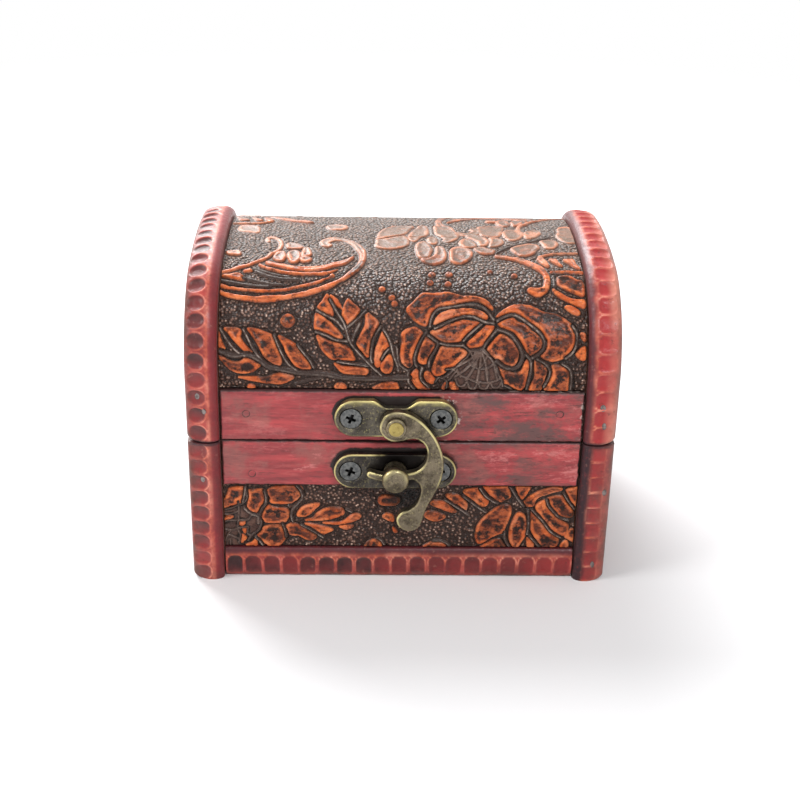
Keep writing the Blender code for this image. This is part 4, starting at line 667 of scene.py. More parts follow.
def leather_material():
    n = Nodes("embossed_leather")
    rim, centre, groove = n.mask("rim"), n.mask("centre"), n.mask("groove")
    vein, glint, heart, grain = n.mask("vein"), n.mask("glint"), n.mask("heart"), n.mask("grain")
    cloud = n.noise(240.0, 4.0, 0.6)
    streak = n.noise(900.0, 4.0, 0.65, (0.5, 1.0, 1.0))
    speck = n.noise(2600.0, 2.0, 0.6)
    blot = n.noise(520.0, 5.0, 0.7)
    sparkle = n.noise(1250.0, 2.0, 0.5)
    pebble = n.cells(1560.0)
    ground = n.mix(n.span(cloud, 0.35, 0.68), (90, 62, 52), (114, 82, 69))
    # painted highlights on the pebbles' tops
    pebble_highlights = n.times(n.span(pebble, 0.30, 0.12), n.span(sparkle, 0.46, 0.62, 0.22, 1.0))
    ground = n.mix(n.times(pebble_highlights, grain), ground, (214, 186, 168))
    crevice = n.times(n.span(pebble, 0.32, 0.50), grain)
    ground = n.mix(n.times(crevice, 0.92), ground, (36, 21, 16))
    ground = n.mix(n.times(heart, n.span(streak, 0.38, 0.60, 0.90, 0.30)), ground, (60, 36, 29))
    burnt = n.mix(n.span(streak, 0.42, 0.60), (88, 40, 25), (166, 82, 46))
    burnt = n.mix(n.span(blot, 0.47, 0.58), burnt, (36, 16, 10))
    orange = n.mix(n.span(streak, 0.40, 0.66), (188, 85, 38), (220, 118, 62))
    orange = n.mix(n.times(n.span(cloud, 0.46, 0.72), 0.5), orange, (222, 148, 112))
    orange = n.mix(n.times(n.span(blot, 0.52, 0.62), 0.8), orange, (98, 44, 24))
    # painted sheen: paler, duller colours and softer grooves towards the lid's top
    faded = n.mask("faded")
    orange = n.mix(n.times(faded, 0.75), orange, (176, 124, 98))
    burnt = n.mix(n.times(faded, 0.75), burnt, (122, 98, 82))
    groove = n.times(groove, n.span(faded, 0.0, 1.0, 1.0, 0.55))
    colour = n.mix(groove, ground, (20, 11, 8))
    colour = n.mix(vein, colour, (58, 43, 38))
    # painted highlight on the raised net cords in the hearts
    net_ridge_highlight = n.times(n.times(vein, heart), n.span(streak, 0.36, 0.60, 0.35, 1.0))
    colour = n.mix(net_ridge_highlight, colour, (98, 76, 67))
    colour = n.mix(n.times(glint, n.span(sparkle, 0.36, 0.56, 0.25, 1.0)), colour, (176, 158, 146))
    colour = n.mix(centre, colour, burnt)
    colour = n.mix(n.times(rim, n.span(speck, 0.22, 0.42, 0.6, 1.0), clamp=True), colour, orange)
    # soot and painted shadow under the hook
    soot_and_shadow_smear = n.times(n.mask("soot_and_shadow"), n.span(blot, 0.62, 0.40, 0.75, 1.0))
    colour = n.mix(soot_and_shadow_smear, colour, (12, 8, 7))
    rough = n.math("MULTIPLY_ADD", centre, 0.04, n.span(speck, 0.3, 0.7, 0.20, 0.36))
    beads = n.math("SUBTRACT", 0.55, n.math("POWER", pebble, 1.4))
    grains = n.times(beads, grain)
    skin = n.math("ADD", n.times(speck, 0.12), n.times(streak, 0.34))
    height = n.math("ADD", grains, skin)
    return n.finish(colour, rough, n.bump(height, 1.0, 0.00044), Specular_IOR_Level=0.24, Sheen_Weight=0.20,
                    Sheen_Roughness=0.40, Sheen_Tint=(1.0, 0.80, 0.64, 1.0))


def moulding_material():
    n = Nodes("gouged_red_wood")
    scoop, across, dusk = n.mask("scoop"), n.mask("across"), n.mask("dusk")
    stain, gleam, shade = n.mask("stain"), n.mask("gleam"), n.mask("shade")
    cloud = n.noise(230.0, 4.0, 0.6)
    grain = n.noise(1300.0, 3.0, 0.6)
    fleck = n.noise(3000.0, 2.0, 0.6)
    wander = n.swayed(across, grain, 0.14)
    red = n.mix(n.span(cloud, 0.38, 0.62), (142, 49, 50), (186, 70, 63))
    red = n.mix(n.span(grain, 0.50, 0.72), red, (190, 84, 70))
    deep = n.mix(n.span(cloud, 0.36, 0.64), (45, 18, 23), (90, 34, 37))
    inside = n.span(scoop, 0.02, 0.34)
    colour = n.mix(n.times(inside, 0.8), red, (172, 44, 46))
    # stain and painted shade in the marks
    colour = n.mix(n.times(inside, stain), colour, deep)
    colour = n.mix(n.times(n.mask("inner"), 0.75), colour, (146, 36, 46))
    dull = n.times(dusk, n.span(n.noise(420.0, 4.0, 0.65), 0.34, 0.60, 0.35, 1.0))
    colour = n.mix(dull, colour, (98, 60, 54))
    bright = n.mix(n.span(cloud, 0.40, 0.60), (216, 106, 74), (236, 156, 130))
    colour = n.mix(n.times(gleam, n.span(grain, 0.30, 0.54, 0.40, 1.0), clamp=True), colour, bright)
    colour = n.mix(n.times(shade, n.span(grain, 0.25, 0.5, 0.7, 1.0)), colour, (50, 26, 32))
    grime = n.times(n.span(wander, 0.74, 1.00), 0.9)
    colour = n.mix(grime, colour, n.mix(n.span(cloud, 0.42, 0.60), (88, 62, 54), (124, 58, 52)))
    # painted light: paler on the lit outer side of the right-hand mouldings
    colour = n.mix(n.times(n.mask("pale"), n.span(cloud, 0.30, 0.60, 0.6, 1.0)), colour, (210, 136, 116))
    wear = n.span(n.noise(800.0, 5.0, 0.7), 0.60, 0.74)
    colour = n.mix(n.times(wear, 0.28), colour, (186, 132, 116))
    dirt = n.span(n.noise(640.0, 5.0, 0.75), 0.60, 0.68)
    colour = n.mix(n.times(dirt, 0.5), colour, (74, 42, 40))
    rough = n.span(grain, 0.3, 0.7, 0.30, 0.50)
    skin = n.math("MULTIPLY_ADD", fleck, 0.3, n.math("ADD", grain, cloud))
    return n.finish(colour, rough, n.bump(skin, 0.55, 0.00016), Specular_IOR_Level=0.34, Sheen_Weight=0.14,
                    Sheen_Roughness=0.40, Sheen_Tint=(1.0, 0.72, 0.64, 1.0))


def strip_material(name, along_x):
    n = Nodes(name)

    def grained(x, y, z):
        return (x, y, z) if along_x else (y, x, z)

    edge, worn, grime = n.mask("edge"), n.mask("worn"), n.mask("grime")
    cloud = n.noise(150.0, 5.0, 0.65)
    grain = n.noise(520.0, 4.0, 0.62, grained(0.10, 1.0, 1.0))
    fine = n.noise(1500.0, 3.0, 0.65, grained(0.16, 1.0, 1.0))
    patch = n.noise(170.0, 8.0, 0.80, grained(0.42, 1.0, 1.0))
    fleck = n.noise(1150.0, 3.0, 0.7)
    colour = n.mix(n.span(grain, 0.35, 0.65), (136, 46, 50), (180, 68, 70))
    colour = n.mix(n.times(n.span(cloud, 0.48, 0.66), 0.75), colour, (146, 84, 78))
    colour = n.mix(n.times(n.span(fine, 0.54, 0.66), 0.20), colour, (204, 112, 104))
    colour = n.mix(n.times(n.span(fine, 0.44, 0.34), 0.42), colour, (96, 42, 44))
    colour = n.mix(n.times(n.span(patch, 0.45, 0.60), worn), colour, (98, 66, 64))
    # painted light, where the strip is set to take more of it
    colour = n.mix(n.times(n.span(patch, 0.46, 0.34), n.mask("pale")), colour, (206, 120, 117))
    scratches = n.span(n.noise(760.0, 6.0, 0.78, grained(0.22, 1.0, 1.0)), 0.55, 0.63)
    colour = n.mix(n.times(scratches, n.times(worn, 0.8)), colour, (70, 42, 40))
    ragged = n.math("MULTIPLY_ADD", n.noise(900.0, 4.0, 0.7), 0.5, edge)
    colour = n.mix(n.span(ragged, 0.60, 0.34), colour, (64, 38, 38))
    # grime round the nails and plates, with painted shade round the plates
    smear_and_shade = n.swayed(grime, n.noise(700.0, 4.0, 0.7), 0.9)
    colour = n.mix(n.span(smear_and_shade, 0.40, 0.80), colour, (38, 28, 26))
    colour = n.mix(n.times(n.mask("flake"), n.span(fleck, 0.52, 0.60, 0.0, 0.8)), colour, (206, 192, 182))
    rough = n.span(grain, 0.3, 0.7, 0.38, 0.58)
    height = n.math("ADD", n.math("ADD", grain, patch), n.times(fine, 0.5))
    return n.finish(colour, rough, n.bump(height, 0.5, 0.00013), Specular_IOR_Level=0.45)


def wood_material(name, along_x):
    n = Nodes(name)
    grain = n.noise(300.0, 5.0, 0.6, (0.08, 1.0, 1.0) if along_x else (1.0, 0.08, 1.0))
    fine = n.noise(1500.0, 3.0, 0.6, (0.05, 1.0, 1.0) if along_x else (1.0, 0.05, 1.0))
    colour = n.mix(n.span(grain, 0.35, 0.65), (128, 74, 52), (164, 104, 74))
    colour = n.mix(n.span(fine, 0.5, 0.75), colour, (104, 60, 44))
    rough = n.span(fine, 0.3, 0.7, 0.55, 0.72)
    return n.finish(colour, rough, n.bump(n.math("ADD", grain, fine), 0.3, 0.0001))


def brass_material(name, face, dark, bright, rough, soot_and_shadow=None, crest=None):
    """Old brass, bright at its worn edges; blackened round one point by soot and painted shadow, and
    brightened between the crest's two heights by a painted highlight."""
    n = Nodes(name)
    edge = n.mask("edge")
    cloud = n.noise(330.0, 4.0, 0.62)
    broad = n.noise(130.0, 2.0, 0.5)
    speck = n.noise(1900.0, 3.0, 0.6)
    colour = n.mix(n.span(cloud, 0.40, 0.66), face, dark)
    colour = n.mix(n.times(n.span(speck, 0.52, 0.68), 0.8), colour, dark)
    flake = n.times(n.span(n.noise(2600.0, 2.0, 0.6), 0.56, 0.70), 0.22)
    colour = n.mix(flake, colour, bright)
    worn = n.math("MULTIPLY_ADD", speck, 0.25, edge)
    shine = n.times(n.span(worn, 0.70, 1.10), n.span(broad, 0.42, 0.60, 0.10, 1.0))
    colour = n.mix(shine, colour, bright)
    # painted highlight along the top, between the crest's two heights
    if crest is not None:
        height = n.add("SeparateXYZ")
        n.link(n.where(), height.inputs[0])
        lit = n.span(n.swayed(height.outputs["Z"], cloud, 0.003), *crest)
        colour = n.mix(n.times(lit, n.span(broad, 0.40, 0.56, 0.10, 0.55)), colour, bright)
    # soot and painted shadow of the hook and knob round one point
    if soot_and_shadow is not None:
        away = n.add("VectorMath", operation="DISTANCE")
        n.link(n.where(), away.inputs[0])
        away.inputs[1].default_value = soot_and_shadow
        smear_and_shade = n.swayed(away.outputs["Value"], cloud, 0.004)
        colour = n.mix(n.span(smear_and_shade, 0.0062, 0.0034), colour, (22, 18, 16))
    return n.finish(colour, n.span(speck, 0.3, 0.7, rough, rough + 0.18),
                    n.bump(n.math("ADD", speck, cloud), 0.3, 0.00009), Metallic=0.85)


def steel_material(name, low, high):
    n = Nodes(name)
    speck = n.noise(1600.0, 3.0, 0.6)
    colour = n.mix(n.span(speck, 0.35, 0.65), low, high)
    colour = n.mix(n.span(n.mask("edge"), 0.9, 0.4), colour, (14, 12, 12))
    return n.finish(colour, n.span(speck, 0.3, 0.7, 0.34, 0.5), n.bump(speck, 0.2, 0.00006), Metallic=0.8)


LEATHER = leather_material()
MOULDING = moulding_material()
STRIP = strip_material("red_painted_strip", True)
END_STRIP = strip_material("red_painted_end_strip", False)
WOOD = wood_material("plain_stained_wood", True)
END_WOOD = wood_material("plain_stained_end_wood", False)
# upper plate: a painted highlight along its top
BRASS = brass_material("antique_plate_brass", (92, 86, 76), (58, 54, 49), (214, 200, 134), 0.30,
                       crest=((PLATE_Z + 2.4) * MM, (PLATE_Z + 3.9) * MM))
# keeper plate: soot and painted shadow of the hook round the knob
SOOTY_SHADED_BRASS = brass_material("keeper_plate_brass", (78, 74, 68), (48, 44, 42), (190, 176, 122), 0.30,
                             ((LATCH_X + 0.8) * MM, -PLATE_FRONT * MM, (KNOB_Z + 1.2) * MM))
HOOK_BRASS = brass_material("hook_brass", (124, 113, 94), (74, 66, 55), (206, 194, 138), 0.27)
RIVET_BRASS = brass_material("rivet_brass", (170, 152, 90), (128, 110, 64), (206, 190, 128), 0.30)
HINGE_BRASS = brass_material("hinge_brass_finish", (140, 126, 86), (96, 84, 58), (200, 186, 130), 0.34)
STEEL = steel_material("dark_steel", (78, 80, 80), (114, 114, 112))
BRAD_STEEL = steel_material("brad_steel", (98, 88, 86), (138, 128, 124))


# Leather
def leather_relief(u, v, seed, facets, bands, cords, hearts=(), rods=(), dots=()):
    relief = Relief(u, v)
    for outline in bands:
        relief.add_facet(outline, grow=BAND_GROW)
    for outline in hearts:
        relief.add_heart(outline)
    for outline in facets:
        relief.add_facet(outline)
    for half_width, line in rods:
        relief.add_rod(half_width, line)
    for half_width, line in cords:
        relief.add_cord(half_width, line)
    for x, y, r in dots:
        turn = np.arange(12) * math.pi / 6
        circle = np.stack([x + r * np.cos(turn), y + r * np.sin(turn)], axis=1)
        relief.add_facet(circle, 2, DOT_GROW, DOT_REACH)
    return relief.finish(seed)


def moved(lines, shift=(0.0, 0.0), turn=None):
    """The outlines shifted, and before that turned half round a point if one is given."""
    out = []
    for line in lines:
        half_width, points = line if isinstance(line, tuple) else (None, line)
        points = points if turn is None else 2 * np.array(turn) - points
        points = points + np.array(shift)
        out.append(points if half_width is None else (half_width, points))
    return out


def low_ones(lines):
    """The outlines that come back upside down low on the lid's back."""
    return [line for line in lines
            if (line[1] if isinstance(line, tuple) else line)[:, 1].mean() < LOW_ON_LID]


lid_dots = points_of(LID_DOTS)
lid_facets, lid_bands, lid_hearts = facets_of(LID_FACETS), bands_of(LID_BANDS), facets_of(LID_HEART)
lid_cords, lid_rods = cords_of(LID_CORDS) + cords_of(LID_NET), cords_of(LID_RODS)
base_pattern = (facets_of(BASE_FACETS), [], cords_of(BASE_CORDS) + cords_of(BASE_NET), facets_of(BASE_HEART))

LEATHER_TOTAL = vault_total(LEATHER_DROP, LID_LEATHER_Z)
RIDGE = LEATHER_TOTAL / 2
# Along the arch, in mm: from the ridge back to the skyline in the photograph, where the relief lies calmer,
# and from the front edge to where the low ornament ends
BROW, LOW_ON_LID = 16.7, 30.0
middle = (0.0, RIDGE)
turned_dots = lid_dots.copy()
turned_dots[:, :2] = 2 * np.array(middle) - turned_dots[:, :2]
vault_pattern = [lid_facets + moved(low_ones(lid_facets), turn=middle),
                 lid_bands + moved(low_ones(lid_bands), turn=middle),
                 lid_cords + moved(low_ones(lid_cords), turn=middle),
                 lid_hearts + moved(lid_hearts, turn=middle), lid_rods + moved(lid_rods, turn=middle),
                 np.vstack([lid_dots, turned_dots])]


def vault_leather(name, start, end, step, seed):
    """Leather over the vault, from start to end along its arch."""
    u = np.linspace(-FIELD_X, FIELD_X, int(2 * FIELD_X / step) + 1)
    v = np.linspace(start, end, int((end - start) / step) + 1)
    height, masks = leather_relief(u, v, seed, *vault_pattern)
    from_ridge = np.abs(v - RIDGE)
    masks["glint"] = masks["glint"] * (1 - 0.8 * step_up(12.0, 20.0, v))[:, None]
    # painted sheen, growing towards the ridge
    masks["faded"] = np.tile(step_up(20.0, 38.0, RIDGE - from_ridge)[:, None], (1, len(u)))
    height *= 0.5 + 0.5 * step_up(2.0, 12.0, from_ridge)[:, None]
    calm = 0.3 + 0.7 * step_up(2.5, 8.0, np.abs(v - RIDGE - BROW))[:, None]
    height, masks["rim"] = height * calm, masks["rim"] * calm
    y, z, ny, nz = (item[:, None] for item in vault_path(v, LEATHER_DROP, LID_LEATHER_Z))
    across = np.tile(u, (len(v), 1))
    top = np.stack([across, y + ny * height, z + nz * height], axis=-1)
    sink = np.full(height.shape, LEATHER_DROP - SEAT_DROP)
    under = np.stack([across, y + ny * sink, z + nz * sink], axis=-1)
    return sheet_piece(name, top, under, masks, LEATHER, "lid", ["lid_vault_leather"])


def flat_leather(name, body, nodes, width, low, high, face, side, pattern, step, seed, top_of=None,
                 soot_and_shadow=None):
    """A flat panel: side is front, back, left or right, and face its distance from the middle."""
    u = np.linspace(-width, width, int(2 * width / step) + 1)
    v = np.linspace(low, high, int((high - low) / step) + 1)
    height, masks = leather_relief(u, v, seed, *pattern)
    across, up = np.meshgrid(u, v)
    if top_of is not None:
        up = low + (up - low) / (high - low) * (top_of(across) - low)
        height, masks = squeezed(height, masks, up, v)
    # soot and painted shadow round a point
    if soot_and_shadow is not None:
        (x, z), (half_x, half_z) = soot_and_shadow
        masks["soot_and_shadow"] = np.exp(-((across - x) / half_x) ** 4 - ((up - z) / half_z) ** 4)
    inner = np.full(up.shape, face - (SEAT_DROP - LEATHER_DROP))
    return sheet_piece(name, sided(across, up, face + height, side), sided(across, up, inner, side), masks,
                       LEATHER, body, nodes, top_of is not None)


def squeezed(height, masks, up, v):
    """Reads a pattern made on straight rows at the heights that the arch leaves."""
    position = np.clip((up - v[0]) / (v[-1] - v[0]) * (len(v) - 1), 0, len(v) - 1.001)
    row = position.astype(int)
    share = position - row
    columns = np.arange(height.shape[1])[None, :]

    def read(values):
        return values[row, columns] * (1 - share) + values[row + 1, columns] * share
    return read(height), {label: read(values) for label, values in masks.items()}


def sided(across, up, out, side):
    """Points for a panel's grid, so that its face looks outwards."""
    if side == "front":
        return np.stack([across, -out, up], axis=-1)
    if side == "back":
        return np.stack([-across, out, up], axis=-1)
    if side == "left":
        return np.stack([-out, -across, up], axis=-1)
    return np.stack([out, across, up], axis=-1)


vault_leather("lid_leather_front", 0.0, 0.25 * LEATHER_TOTAL, FRONT_STEP, 3)
vault_leather("lid_leather_top", 0.25 * LEATHER_TOTAL, 0.5 * LEATHER_TOTAL, TOP_STEP, 3)
vault_leather("lid_leather_back", 0.5 * LEATHER_TOTAL, LEATHER_TOTAL, UNSEEN_STEP, 4)
# where soot and the hook's painted shadow darken the front leather
UNDER_HOOK = ((LATCH_X + 2.1, KNOB_Z - 6.9), (3.4, 2.9))
for side, step, seed, soot_and_shadow in (("front", FRONT_STEP, 5, UNDER_HOOK), ("back", UNSEEN_STEP, 6, None)):
    flat_leather("base_leather_" + side, "base", ["base_" + side + "_leather"], FIELD_X, BASE_LEATHER_Z,
                 BASE_LEATHER_TOP, DEPTH / 2 - LEATHER_DROP, side, base_pattern, step, seed, soot_and_shadow=soot_and_shadow)
for side, shift in (("left", 5.0), ("right", -6.0)):
    pattern = [moved(lines, (shift, 0.0)) for lines in base_pattern]
    flat_leather("base_leather_" + side, "base", ["base_" + side + "_leather"], SHELL_Y, BASE_LEATHER_Z,
                 BASE_LEATHER_TOP, END_LEATHER_X, side, pattern, UNSEEN_STEP, 7)


def arch_top(across):
    """Height of the lid ends' leather at each place across, in mm."""
    distance = np.linspace(0.0, vault_total(SEAT_DROP + GAP, LID_LEATHER_Z), 400)
    y, z, _, _ = vault_path(distance, SEAT_DROP + GAP, LID_LEATHER_Z)
    curved = z > SPRING_Z
    return np.maximum(np.interp(across, y[curved], z[curved]), SPRING_Z)


END_GRID_TOP = 58.9
for side, shift in (("left", 6.0), ("right", -5.0)):
    pattern = [moved(lines, (shift, LID_LEATHER_Z + 0.5))
               for lines in (lid_facets, lid_bands, lid_cords, lid_hearts)]
    flat_leather("lid_leather_" + side, "lid", ["lid_" + side + "_end_leather"], SHELL_Y, LID_LEATHER_Z,
                 END_GRID_TOP, END_LEATHER_X, side, pattern, UNSEEN_STEP, 8, arch_top)


# Gouged mouldings
CROWN_SHARE, INNER_SHARE, OUTER_SHARE, LEAST_SHARE, END_ROUNDING = 0.36, 0.50, 0.46, 0.12, 1.3
INNER_ROWS, OUTER_ROWS = 9, 34
BOWL_REACH, BOWL_FULLNESS, LIP_RISE, LIP_WIDTH, WAVER = 1.35, 2.2, 0.03, 0.14, 0.03

# How much one gouge differs from the next: place and lean in mm, sizes as shares, then depth and stain
PLACE_VARIES, LEAN_VARIES, HALF_VARIES, START_VARIES, END_VARIES = 0.08, 0.04, 0.010, 0.012, 0.008
DEPTH_VARIES, STAIN_VARIES = 0.12, 0.18


def moulding_height(t, width, height):
    """Height of a moulding's profile at t across it, from its inner side."""
    crown = CROWN_SHARE * width
    inner, outer = INNER_SHARE * height, OUTER_SHARE * height
    rise = inner + (height - inner) * np.sqrt(np.clip(1 - ((crown - t) / crown) ** 2, 0, 1))
    fall = outer + (height - outer) * np.sqrt(np.clip(1 - ((t - crown) / (width - crown)) ** 2, 0, 1))
    return np.where(t < crown, rise, fall)


# How a moulding's marks were cut, stained and painted with light and shade: where they start and end across
# it, as shares of its width; half a mark's width, as a share of their spacing; how round its outer (tail) and
# inner (nose) ends are; its depth in mm; the strengths of the stain and painted shade in the marks, of the
# painted highlights on the crown line (crown) and on the ridges, of dusk, of the shade band and of the
# painted light on the lit side; and the shares of the width at which the ridges fade and the shaded band
# ends.
Gouge = namedtuple("Gouge", "start end half tail depth stain crown ridge fade dusk nose band shade pale")
LEFT_RIB = Gouge(0.35, 0.93, 0.44, 0.9, 0.55, 1.00, 0.60, 0.74, 0.85, 0.30, 1.0, 0.16, 0.35, 0.0)
RIGHT_RIB = Gouge(0.24, 0.86, 0.47, 0.7, 0.42, 0.12, 0.50, 0.80, 0.80, 0.0, 0.6, 0.17, 0.80, 0.75)
LEFT_POST = Gouge(0.38, 0.95, 0.46, 0.6, 0.50, 0.80, 0.60, 1.00, 0.55, 0.55, 0.8, 0.16, 0.45, 0.0)
RIGHT_POST = Gouge(0.26, 0.74, 0.475, 0.3, 0.30, 0.22, 0.10, 1.00, 0.66, 0.45, 0.3, 0.25, 1.0, 0.15)
FOOT = Gouge(0.245, 0.925, 0.455, 0.5, 0.50, 0.92, 0.70, 0.95, 0.66, 0.15, 0.85, 0.17, 0.80, 0.0)

carved = {}


def gouge_marks(A, T, length, width, pitch, look, rng):
    """How far each place lies inside its mark, and that mark's own depth, tint and upper side."""
    count = max(1, round(length / pitch))
    spacing = length / count
    scoop = np.full(A.shape, -2.0)
    deep, tint, upward = np.ones(A.shape), np.ones(A.shape), np.zeros(A.shape)
    for index in range(count):
        centre = (index + 0.5) * spacing + rng.normal() * PLACE_VARIES
        half = spacing * (look.half + HALF_VARIES * rng.normal())
        lean = rng.normal() * LEAN_VARIES
        start = width * (look.start + START_VARIES * rng.normal()) + look.nose * half
        end = max(width * (look.end + END_VARIES * rng.normal()), start + 0.2) - look.tail * half
        end = max(end, start)
        du = np.abs(A - centre - lean * (T - start))
        inner = look.nose * half - np.hypot(np.maximum(du - (1 - look.nose) * half, 0.0), T - start)
        outer = look.tail * half - np.hypot(np.maximum(du - (1 - look.tail) * half, 0.0), T - end)
        d = np.where(T < start, inner, np.where(T > end, outer, half - du))
        mine = d > scoop
        deep = np.where(mine, 1 + DEPTH_VARIES * rng.normal(), deep)
        tint = np.where(mine, 1 + STAIN_VARIES * rng.normal(), tint)
        upward = np.where(mine, (A - centre) / half, upward)
        scoop = np.maximum(scoop, d)
    return scoop, deep, tint, upward


def moulding_masks(name, A, share, length, scoop, tint, upward, wobble, coarse, look):
    """Masks of the moulding's material, from each place along (A) and across it as a share of its width."""
    line = np.exp(-((share - look.start + 0.045) / 0.055) ** 2)
    ridge = np.exp(-((scoop + 0.02) / 0.13) ** 2) * (1 - 0.85 * step_up(look.start + 0.10, look.fade, share))
    gleam = np.maximum(look.crown * line * (0.75 + 0.35 * wobble), look.ridge * ridge * (0.85 + 0.3 * coarse))
    # painted shade in the marks, deeper on one side of each; on the front foot, stain and shade weaker
    # towards the right
    grade = 0.86 + 0.34 * np.clip(upward, -1, 1)
    if name.startswith("base_front_foot"):  # stained less towards the right
        grade = 1.12 - 0.80 * A / length
    # painted light: a paler band across the lit side
    worn = step_up(0.50, 0.82, share + 0.05 * wobble) * step_up(1.0, 0.93, share)
    shade = look.shade * step_up(look.band + 0.13, look.band - 0.07, share + 0.04 * wobble)
    if "foot" not in name:  # darker near its free ends
        tip = (length - A) if name.startswith("base") else np.minimum(A, length - A)
        shade = np.maximum(shade, 0.95 * step_up(0.75, 0.2, tip + 0.3 * wobble + 0.2 * coarse))
    return {"scoop": scoop, "across": share,
            "stain": np.clip(look.stain * tint * (grade + 0.2 * coarse), 0, 1),
            "dusk": np.clip(look.dusk * (1 + 0.5 * coarse) + 0.5 * look.dusk * (share - 0.4), 0, 1),
            "shade": shade, "pale": np.clip(look.pale * worn * (0.8 + 0.4 * coarse), 0, 1),
            "inner": step_up(look.start - 0.06, look.start - 0.14, share + 0.02 * wobble),
            "gleam": np.clip(gleam, 0, 1)}


def moulding(name, body, length, width, height, pitch, place, rounded, seed, look):
    """A moulding whose place(a, t, h) gives points from along, across and height in mm.

    rounded tells whether its outer edge is rounded off at its start and at its end."""
    rng = np.random.default_rng(seed)
    crown = CROWN_SHARE * width
    a = np.linspace(0.0, length, int(length / MOULDING_STEP) + 1)
    inner_turn = np.linspace(0.0, math.pi / 2, INNER_ROWS)
    outer_turn = np.linspace(0.0, math.pi / 2, OUTER_ROWS)[1:]
    t = np.concatenate([crown * (1 - np.cos(inner_turn)), crown + (width - crown) * np.sin(outer_turn)])
    A, T = np.meshgrid(a, t, indexing="ij")
    scoop, deep, tint, upward = gouge_marks(A, T, length, width, pitch, look, rng)
    wobble = soft_noise(A.shape, 12, rng)
    coarse = soft_noise(A.shape, 40, rng)
    bowl = 1 - (1 - np.clip(scoop / BOWL_REACH, 0, 1)) ** BOWL_FULLNESS
    H = moulding_height(T, width, height) - bowl * deep * look.depth
    H += LIP_RISE * np.exp(-((scoop + 0.05) / LIP_WIDTH) ** 2) * (T < width * 0.9)
    H += WAVER * wobble
    H = np.clip(H, LEAST_SHARE * height, moulding_height(np.array([crown]), width, height)[0])
    nip = np.minimum(A if rounded[0] else FAR, (length - A) if rounded[1] else FAR)
    round_off = END_ROUNDING - np.sqrt(np.clip(END_ROUNDING ** 2 - (END_ROUNDING - nip) ** 2, 0, None))
    kept = width - np.where(nip < END_ROUNDING, round_off, 0.0) - crown
    across = np.where(T > crown, crown + (T - crown) * kept / (width - crown), T)
    rows, columns = A.shape
    none = np.zeros((rows, 1))
    points = place(np.repeat(a[:, None], columns + 2, axis=1),
                   np.concatenate([none, across, across[:, -1:]], axis=1),
                   np.concatenate([none, H, none], axis=1))
    index = np.arange(rows * (columns + 2)).reshape(rows, columns + 2).tolist()
    faces = grid_faces(rows, columns + 2).tolist()
    faces += [[index[j][-1], index[j][0], index[j + 1][0], index[j + 1][-1]] for j in range(rows - 1)]
    faces += [index[0][::-1], index[-1]]
    masks = moulding_masks(name, A, T / width, length, scoop, tint, upward, wobble, coarse, look)
    padded = {label: np.concatenate([values[:, :1], values, values[:, -1:]], axis=1).reshape(-1)
              for label, values in masks.items()}
    piece = piece_from(name + "_carved", points.reshape(-1, 3), faces, padded, MOULDING, body, [name],
                       60)
    outwards(piece)
    carved[name] = piece


def rib_place(sign):
    """The place of a rib's points, on the right (1) or left (-1) of the lid's arch."""
    def place(a, t, h):
        y, z, ny, nz = vault_path(a, 0.0, RIB_BOTTOM)
        rise = h - SEAT_DROP - 0.002
        return np.stack([sign * (MOULDING_X + t), y + ny * rise, z + nz * rise], axis=-1)
    return place


def straight_place(*axes):
    """The place of a straight moulding's points: its origin, then the ways along, across and out."""
    origin, along, across, out = (np.array(item, float) for item in axes)

    def place(a, t, h):
        return origin + a[..., None] * along + t[..., None] * across + h[..., None] * out
    return place


SEAT_Y, RIB_LENGTH, FOOT_HEIGHT = DEPTH / 2 - SEAT_DROP, vault_total(0.0, RIB_BOTTOM), 1.8
RIB_PITCH, POST_PITCH, FOOT_PITCH = 3.7, 3.4, 3.5
for name, sx, seed, look in (("lid_left_rib", -1, 11, LEFT_RIB), ("lid_right_rib", 1, 12, RIGHT_RIB)):
    moulding(name, "lid", RIB_LENGTH, MOULDING_W, SEAT_DROP, RIB_PITCH, rib_place(sx), (True, True), seed,
             look)
seed = 20
for side, sx, look in (("left", -1, LEFT_POST), ("right", 1, RIGHT_POST)):
    for face, sy in (("front", -1), ("back", 1)):
        seed += 1
        moulding("base_%s_%s_corner_strip" % (face, side), "base", POST_TOP, MOULDING_W, SEAT_DROP,
                 POST_PITCH,
                 straight_place((sx * MOULDING_X, sy * SEAT_Y, 0.0), (0, 0, 1), (sx, 0, 0), (0, sy, 0)),
                 (True, False), seed, look)
for face, length, origin, along, out in (
        ("front", FIELD_X, (-FIELD_X, -SEAT_Y, FOOT_TOP), (1, 0, 0), (0, -1, 0)),
        ("back", FIELD_X, (-FIELD_X, SEAT_Y, FOOT_TOP), (1, 0, 0), (0, 1, 0)),
        ("left", SHELL_Y, (-SEAT_X, -SHELL_Y, FOOT_TOP), (0, 1, 0), (-1, 0, 0)),
        ("right", SHELL_Y, (SEAT_X, -SHELL_Y, FOOT_TOP), (0, 1, 0), (1, 0, 0))):
    seed += 1
    moulding("base_%s_foot_strip" % face, "base", 2 * length, FOOT_TOP, FOOT_HEIGHT, FOOT_PITCH,
             straight_place(origin, along, (0, 0, -1), out), (False, False), seed, FOOT)


# Flat strips at the seam, and the painted-over nails in them
STRIP_NAILS = {"lid_front_rim_strip": ((-28.91, 35.62), (29.25, 35.93)),
               "base_front_rim_strip": ((-28.13, 22.95),)}
NAIL_R, NAIL_DEPTH, NAIL_LINE, EDGE_WEAR, WEAR_REACH, RIPPLE = 0.68, 0.14, 0.22, 0.40, 0.42, 0.04
PLATE_STRAIGHT, PLATE_R = 7.9, 3.7


